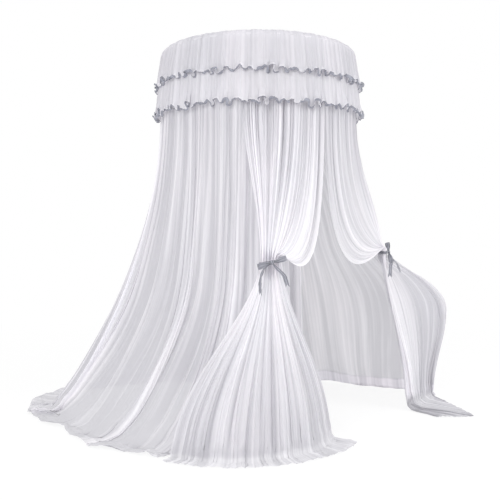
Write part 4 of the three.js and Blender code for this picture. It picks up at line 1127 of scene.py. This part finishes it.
def trim_surface(tier):
    seed = tier["seed"] + TRIM_SEED_STEP

    def surface(u, share):
        hem = np.ones_like(u)
        sewn = tier_point(tier, u, hem)
        along = unit(tier_point(tier, u + TURN_STEP, hem) - tier_point(tier, u - TURN_STEP, hem))
        outward = unit(sewn * LEVEL)
        side = unit(np.cross(outward, along))
        lie = np.radians(TRIM_LIE + TRIM_LIE_SWING * wander(u * 27, seed + 5))
        across = outward * column(np.cos(lie)) + side * column(np.sin(lie))
        width = TRIM_WIDTH * (WIDTH_MEAN_SHARE + WIDTH_SWING_SHARE * wander(u * 19, seed + 7))
        phase = FULL_TURN * RUFFLE_COUNT * u + RUFFLE_UNEVEN * wander(u * 40, seed + 6)
        ruffle = RUFFLE_DEPTH * np.sin(phase) * share
        lifted = sewn + outward * TRIM_STAND_OFF + across * column(width * (share - TRIM_SEWN_SHARE))
        return lifted + np.cross(across, along) * column(ruffle), 0.5
    return surface


for tier in (UPPER_TIER, LOWER_TIER):
    hang_cloth(f"{tier['level']}_trim_ruffle", trim_surface(tier), (2200, 5), (TRIM_LENGTH, TRIM_WIDTH),
               trim_cloth, [f"{tier['level']}_trim"],
               wraps=True)

# %% [markdown]
# ## Satin ribbon ties
# Each tie is one length of satin ribbon: round the bundle, knotted in front and pulled into a bow. The
# ribbon is as wide in the loops as on the roll, but the knot pinches it, so every loop and tail starts
# narrow and creased. Each part is a grid again, bent round its own path and set in the frame of its tie.

# %% Ribbon material
RIBBON_LIGHT = colour(150, 151, 160)
RIBBON_DARK = colour(76, 77, 88)
RIBBON_WEAVE_SCALE, RIBBON_PATCH_SCALE = (900.0, 35.0, 1.0), (40.0, 22.0, 1.0)
RIBBON_RELIEF = 0.001


def ribbon_recipe(start):
    weave = noise(start, uv_place(start), RIBBON_WEAVE_SCALE, 2.0)
    patches = noise(start, uv_place(start), RIBBON_PATCH_SCALE, 3.0)
    # The ribbon is painted lighter and darker along its creases, as painted shade and highlight; its
    # patches and weave are its own tone.
    shade = (layers_and_painted_shade(start) + (patches - 0.5) * 1.1 + (weave - 0.5) * 0.4).held()
    return {"Base Color": shade.blend(RIBBON_DARK, RIBBON_LIGHT), "Roughness": 0.38, "Sheen Weight": 0.35,
            "Specular IOR Level": 0.6, "Normal": relief(start, weave + patches, 0.3, RIBBON_RELIEF)}


satin = solid_material("satin_ribbon", ribbon_recipe)
print("ribbon material ready")

# %% Band and knot
RIBBON_WIDTH = 0.024
KNOT_FACE = 0.0357
KNOT_HALF_WIDTH, KNOT_HALF_HEIGHT, KNOT_HALF_DEPTH = 0.011, 0.0115, 0.0078
BOW_PLANE = KNOT_FACE + KNOT_HALF_DEPTH
BAND_REACHES = (0.0572, 0.0342)
BAND_PULLED, BAND_PULL_SPAN = 0.66, 0.07
BAND_CREASES, BAND_CREASE_SHARE, BAND_WAVE_SHARE = 2.6, 0.045, 0.01
BAND_KNOT_PINCH, FRONT_OF_BAND = 0.2, 0.75
BAND_RIPPLE = 0.0022
KNOT_CREASES, KNOT_CREASE_SHARE, KNOT_LOBE_SHARE, KNOT_SWELL = 2.3, 0.07, 0.05, 0.12


def stacked(*parts):
    return np.stack(np.broadcast_arrays(*parts), axis=-1)


def turned(first, second, degrees):
    """Two coordinates, turned in their own plane."""
    turn = math.radians(degrees)
    return (first * math.cos(turn) - second * math.sin(turn),
            first * math.sin(turn) + second * math.cos(turn))


def band_wrap(u, v):
    """The band round the bundle, creased along its length and pulled narrower under the knot."""
    turn = FULL_TURN * u
    crease = np.cos(FULL_TURN * (BAND_CREASES * v + 0.35 * wander(u * 2, 7)))
    reach = 1 + BAND_CREASE_SHARE * crease + BAND_WAVE_SHARE * wander(u * 4, 8)
    under_knot = np.exp(-((np.abs(u - FRONT_OF_BAND) / BAND_PULL_SPAN) ** 2))
    height = BAND_PULLED * BAND_HEIGHT * (0.5 - v) * (1 - BAND_KNOT_PINCH * under_knot)
    height = height + BAND_RIPPLE * wander(u * 1.6, 9)
    along, outward = BAND_REACHES[0] * reach * np.cos(turn), BAND_REACHES[1] * reach * np.sin(turn)
    # The second value paints the band lighter and darker along its creases: painted shade.
    return stacked(along, outward, height), 0.5 + 0.4 * crease


def knot_wrap(u, v):
    turn = FULL_TURN * u
    round_off = np.sqrt(np.clip(1 - (2 * v - 1) ** 4, 0, 1))
    crease = np.cos(FULL_TURN * (KNOT_CREASES * v + KNOT_SWELL * np.sin(turn)))
    reach = round_off * (1 + KNOT_CREASE_SHARE * crease + KNOT_LOBE_SHARE * np.sin(3 * turn))
    sideways = KNOT_HALF_WIDTH * (2 * v - 1) * (1 + KNOT_SWELL * np.sin(turn))
    points = stacked(sideways, KNOT_HALF_DEPTH * reach * np.cos(turn) - BOW_PLANE,
                     KNOT_HALF_HEIGHT * reach * np.sin(turn))
    # The second value paints the knot lighter and darker along its creases: painted shade.
    return points, 0.5 + 0.45 * crease


print("band and knot ready")

# %% Loops and tails
LOOP_START, LOOP_LENGTH = 0.005, 0.068
LOOP_HALF_DEPTH, LOOP_CLEAR = 0.015, 0.006
LOOP_CREASE, TAIL_CREASE = 0.0022, 0.0016
LOOP_PINCH, TAIL_PINCH, TAIL_SPREAD = 0.4, 0.42, 0.92
LOOP_CREASES, TAIL_CREASES = 2.2, 1.7
LOOP_SLOPE, LOOP_CORNER = 0.16, 0.1
TAIL_TWIST_WANDER = 0.25
NOTCH_SHARE = 0.09


def loop_wrap(side, plump, droop, seed, roll):
    """roll turns a loop about its own length, in degrees, so that its face looks sideways."""
    def surface(u, v):
        turn = FULL_TURN * v
        out = (1 - np.cos(turn)) / 2
        swollen = np.sin(math.pi * v)
        pinch = 1 - smooth(out, 0, 0.7)
        crease = np.cos(FULL_TURN * (LOOP_CREASES * u + 0.2 * wander(v, seed)))
        depth = LOOP_HALF_DEPTH * np.sin(turn) * (0.45 + 0.55 * swollen)
        across = RIBBON_WIDTH * mix(LOOP_PINCH, plump, smooth(out, 0, 0.75)) * (u - 0.5)
        sideways = side * (LOOP_START + LOOP_LENGTH * out - LOOP_CORNER * np.abs(across) * out)
        height = across + droop * out**2
        outward = -depth - LOOP_CREASE * crease * (0.35 + pinch) - LOOP_SLOPE * across * swollen
        rolled, risen = turned(outward, height, roll)
        rolled = rolled - LOOP_CLEAR * out * math.sin(math.radians(roll))
        # The second value paints the loop lighter and darker along its creases, most near the pinch:
        # painted shade.
        return stacked(sideways, rolled - BOW_PLANE, risen), 0.5 + 0.35 * crease * (0.4 + 0.6 * pinch)
    return surface


def tail_wrap(path, twist, seed):
    """path holds rows of (share of the length, sideways, outward, drop) from the knot to the end."""
    sides, outs, drops = ([(row[0], row[at]) for row in path] for at in (1, 2, 3))

    def surface(u, v):
        along = v * (1 - NOTCH_SHARE * (1 - np.abs(2 * u - 1)))
        across = RIBBON_WIDTH * mix(TAIL_PINCH, TAIL_SPREAD, smooth(along, 0, 0.35)) * (u - 0.5)
        turn = np.radians(mix(*twist, smooth(along, 0, 1))) + TAIL_TWIST_WANDER * wander(along, seed)
        crease = np.cos(FULL_TURN * (TAIL_CREASES * u + 0.2 * wander(along * 2, seed + 1)))
        cup = TAIL_CREASE * crease * (1.15 - along)
        sideways = curve_at(sides, along) + across * np.cos(turn) + cup * np.sin(turn)
        outward = cup * np.cos(turn) - BOW_PLANE - curve_at(outs, along) - across * np.sin(turn)
        # The second value paints the tail lighter and darker along its creases: painted shade.
        return stacked(sideways, outward, -curve_at(drops, along)), 0.5 + 0.3 * crease
    return surface


print("loops and tails ready")

# %% Two ties
LOOPS = ((-1, 1.2, -0.004, 3), (1, 1.05, 0.003, 5))
LOOP_CUT, BAND_CUT, KNOT_CUT = 0.15, 0.3, 0.06
TAIL_SLACK = 1.05
LEFT_TIE_LOOK = {
    "centre": LEFT_TIE, "bearing": LEFT_TIE_BEARING, "bow_tilt": 15, "band_tilt": 9, "loop_roll": 0,
    "tails": (
        ((0, 0, 0, 0.004), (0.2, -0.036, 0.010, 0.026), (0.5, -0.057, 0.018, 0.075),
         (1, -0.058, 0.024, 0.156)),
        ((0, 0.002, 0, 0.004), (0.3, 0.026, 0.014, 0.030), (0.6, 0.055, 0.022, 0.062),
         (1, 0.073, 0.024, 0.116))),
    "twists": ((50, 60), (8, -22))}
RIGHT_TIE_LOOK = {
    "centre": RIGHT_TIE, "bearing": RIGHT_TIE_BEARING, "bow_tilt": 50, "band_tilt": 0, "loop_roll": 60,
    "tails": (
        ((0, -0.004, 0, 0.006), (0.3, -0.032, 0.004, 0.045), (0.6, -0.052, -0.006, 0.088),
         (1, -0.062, -0.014, 0.150)),
        ((0, 0.002, 0, 0.006), (0.3, 0.010, 0.028, 0.036), (0.6, 0.018, 0.060, 0.074),
         (1, 0.022, 0.086, 0.130))),
    "twists": ((60, 90), (30, 50))}


def tilted(points, degrees):
    """Turns points of a bow about the line through its knot that points outwards."""
    sideways, height = turned(points[..., 0], points[..., 2], degrees)
    return stacked(sideways, points[..., 1], height)


def add_tie(side, look):
    """The knot, the band, two loops and two tails of one bow."""
    def add_part(part, wrap, tilt, grid, flat, wraps=False):
        def surface(u, v):
            points, layer_shade_value = wrap(u, v)
            points = tilted(points, tilt)
            placed = look["centre"] + sideways_at(look["bearing"]) * column(points[..., 0])
            placed = placed - outward_at(look["bearing"]) * column(points[..., 1])
            return placed + UP * column(points[..., 2]), layer_shade_value
        return hang_cloth(f"{side}_{part}_satin", surface, grid, flat, satin, [f"{side}_{part}"],
                          wraps=wraps)

    tilt = look["bow_tilt"]
    knot = add_part("tie_knot", knot_wrap, tilt, (64, 32), (KNOT_CUT, RIBBON_WIDTH), wraps=True)
    add_part("tie_band", band_wrap, look["band_tilt"], (160, 12), (BAND_CUT, RIBBON_WIDTH), wraps=True)
    for number, loop in enumerate(LOOPS, start=1):
        add_part(f"bow_loop_{number}", loop_wrap(*loop, look["loop_roll"]), tilt, (24, 72),
                 (RIBBON_WIDTH, LOOP_CUT))
    for number, (path, twist) in enumerate(zip(look["tails"], look["twists"]), start=1):
        add_part(f"bow_tail_{number}", tail_wrap(path, twist, 20 + number), 0, (20, 64),
                 (RIBBON_WIDTH, TAIL_SLACK * path[-1][-1]))


add_tie("left", LEFT_TIE_LOOK)
add_tie("right", RIGHT_TIE_LOOK)

# %% [markdown]
# ## Hanging straps
# Six woven straps carry the hoop from the hub. Each lies flat under the roof, turns once round the steel
# tube and is sewn back on itself. Its cross ribs and lengthwise cords are drawn by the material. They are
# thin and nearly hidden, so a flat strip with a thickness does for each.

# %% Strap material
STRAP_WHITE = colour(238, 238, 240)
STRAP_SHADE = colour(198, 198, 203)
RIB_PITCH, CORD_PITCH = 0.0016, 0.003
STRAP_GRAIN_SCALE = (600.0, 600.0, 600.0)
STRAP_RELIEF = 0.0006


def strap_recipe(start):
    uv = uv_place(start)
    across = start.node("ShaderNodeSeparateXYZ", values={0: uv}, output="X")
    down = Socket(start.tree, across.output.node.outputs["Y"])
    ribs = start.maths("SINE", down * (FULL_TURN / RIB_PITCH)) * 0.5 + 0.5
    cords = start.maths("SINE", across * (FULL_TURN / CORD_PITCH)) * 0.5 + 0.5
    height = ribs * 0.6 + cords * 0.4
    shade = (height * 0.6 + noise(start, uv, STRAP_GRAIN_SCALE, 2.0) * 0.5).held()
    return {"Base Color": shade.blend(STRAP_SHADE, STRAP_WHITE), "Roughness": 0.8,
            "Normal": relief(start, height, 0.6, STRAP_RELIEF)}


webbing = solid_material("woven_strap", strap_recipe)
print("strap material ready")

# %% Straps
HOOP_RADIUS = 0.550
STRAP_WIDTH = 0.024
STRAP_THICKNESS = 0.0012
STRAP_LINE_Z = -0.0673
STRAP_INNER_END = 0.0214
HUB_RADIUS = 0.036
STRAP_LOOP = 0.0069
STRAP_LENGTH = 0.62
LOOP_FROM, LOOP_TURN, LOOP_POINTS = 80.0, 330.0, 41
FLAP_START, FLAP_LENGTH = 0.012, 0.032
FLAP_DROP = 0.0016
STRAIGHT_END_SHARE, STRAIGHT_POINTS = 0.98, 12


def strap_line():
    """The strap's route in the plane of its bearing, as (distance from the axis, height)."""
    turns = np.radians(LOOP_FROM - np.linspace(0, LOOP_TURN, LOOP_POINTS))
    reaches, heights = HOOP_RADIUS + STRAP_LOOP * np.cos(turns), HOOP_Z + STRAP_LOOP * np.sin(turns)
    circle = np.stack([reaches, heights], axis=-1)
    hub = np.array([HUB_RADIUS, STRAP_LINE_Z])
    inward = unit(hub - circle[0])
    flap = [circle[0] + inward * reach - (0, FLAP_DROP) for reach in (FLAP_START, FLAP_LENGTH)]
    shares = np.linspace(0, STRAIGHT_END_SHARE, STRAIGHT_POINTS)
    straight = [mix(hub, circle[0], share) for share in shares]
    return np.array([(STRAP_INNER_END, STRAP_LINE_Z), *straight, *circle, *flap])


def strap_surface(bearing, line):
    lengths = np.concatenate([[0], np.cumsum(np.linalg.norm(np.diff(line, axis=0), axis=1))])
    places = lengths / lengths[-1]

    def surface(u, v):
        at = np.interp(v, np.linspace(0, 1, len(line)), places)
        reach, height = np.interp(at, places, line[:, 0]), np.interp(at, places, line[:, 1])
        return polar(bearing, reach, height) + sideways_at(bearing) * column(STRAP_WIDTH * (u - 0.5)), 0.5
    return surface


route = strap_line()
for number in range(1, TAPE_COUNT + 1):
    bearing = FIRST_TAPE_BEARING + 360 / TAPE_COUNT * (number - 1)
    strap = hang_cloth(f"hanging_strap_{number}", strap_surface(bearing, route), (4, len(route) - 1),
                       (STRAP_WIDTH, STRAP_LENGTH), webbing, [f"hanging_tape_{number}"])
    thick = strap.modifiers.new("thickness", "SOLIDIFY")
    thick.thickness = STRAP_THICKNESS
    thick.offset = 0.0

# %% [markdown]
# ## Steel
# The hoop is a white coated tube in four arcs that push into sleeves. A circle is swept along each arc,
# so it is rounder than in the frame. The crown's small parts keep their CAD shapes: their edges are
# broken with a narrow bevel and they get a zinc finish with a fine grain.

# %% Coated steel
COAT_WHITE = colour(240, 240, 238)
COAT_GRAIN_SCALE, COAT_RELIEF = (900.0, 900.0, 900.0), 0.0003


def coated_recipe(start):
    grain = noise(start, object_place(start), COAT_GRAIN_SCALE, 2.0)
    return {"Base Color": COAT_WHITE, "Roughness": grain * 0.2 + 0.25, "Coat Weight": 0.3,
            "Normal": relief(start, grain, 0.15, COAT_RELIEF)}


coated = solid_material("white_coated_steel", coated_recipe)
print("coated steel ready")

# %% Hoop
ARC_SIDES, QUARTER_STEPS, LEAST_STEPS = 24, 72, 4
ARC_COUNT = 4
ARC_DEGREES = 360 / ARC_COUNT
TUBE_RADIUS, SLEEVE_RADIUS = 0.006, 0.008
FIRST_JOINT, SLEEVE_HALF_DEGREES = 45.0, 3.0
JOINT_GAP_DEGREES = 0.05


def swept_arc(name, node, radius, from_bearing, degrees):
    """A round bar bent along the hoop, closed at both ends."""
    mesh = bmesh.new()
    bmesh.ops.create_circle(mesh, cap_ends=True, segments=ARC_SIDES, radius=radius)
    bmesh.ops.rotate(mesh, verts=mesh.verts, matrix=Matrix.Rotation(math.pi / 2, 3, "X"))
    bmesh.ops.translate(mesh, verts=mesh.verts, vec=(HOOP_RADIUS, 0, HOOP_Z))
    turn = Matrix.Rotation(math.radians(from_bearing - 90), 3, "Z")
    bmesh.ops.rotate(mesh, verts=mesh.verts, matrix=turn)
    steps = max(LEAST_STEPS, round(QUARTER_STEPS * degrees / 90))
    bmesh.ops.spin(mesh, geom=mesh.faces[:], axis=(0, 0, 1), angle=math.radians(degrees), steps=steps)
    bmesh.ops.recalc_face_normals(mesh, faces=mesh.faces)
    finish_piece(name, mesh, coated, "canopy", [node])


for number in range(1, ARC_COUNT + 1):
    joint = FIRST_JOINT + ARC_DEGREES * (number - 1)
    swept_arc(f"hoop_arc_{number}", f"hoop_segment_{number}", TUBE_RADIUS, joint + JOINT_GAP_DEGREES,
              ARC_DEGREES - 2 * JOINT_GAP_DEGREES)
    swept_arc(f"hoop_socket_{number}", f"hoop_sleeve_{number}", SLEEVE_RADIUS, joint - SLEEVE_HALF_DEGREES,
              2 * SLEEVE_HALF_DEGREES)
print("hoop ready")

# %% Zinc parts
ZINC_LIGHT = colour(205, 208, 212)
ZINC_DARK = colour(150, 154, 160)
ZINC_PATCH_SCALE, ZINC_GRAIN_SCALE = (60.0, 60.0, 60.0), (1400.0, 1400.0, 1400.0)
ZINC_RELIEF = 0.0003
STEEL_NODES = ("ceiling_plate", "swivel_cup", "cup_screw_1", "cup_screw_2", "cup_screw_3", "swivel_hook",
               "crown_hub", "hub_washer", "hub_screw")
EDGE_WIDTH = 0.0004
EDGE_SEGMENTS = 2
SHARP_DEGREES = 40


def zinc_recipe(start):
    patches = noise(start, object_place(start), ZINC_PATCH_SCALE, 4.0)
    grain = noise(start, object_place(start), ZINC_GRAIN_SCALE, 2.0)
    return {"Base Color": patches.blend(ZINC_DARK, ZINC_LIGHT), "Metallic": 1.0,
            "Roughness": patches * 0.25 + 0.2, "Normal": relief(start, grain, 0.2, ZINC_RELIEF)}


zinc = solid_material("zinc", zinc_recipe)
for name in STEEL_NODES:
    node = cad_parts[name]
    node.data.materials.clear()
    node.data.materials.append(zinc)
    edges = node.modifiers.new("broken edges", "BEVEL")
    edges.width = EDGE_WIDTH
    edges.segments = EDGE_SEGMENTS
    edges.limit_method = "ANGLE"
    edges.angle_limit = math.radians(SHARP_DEGREES)
print(len(STEEL_NODES), "steel parts finished")
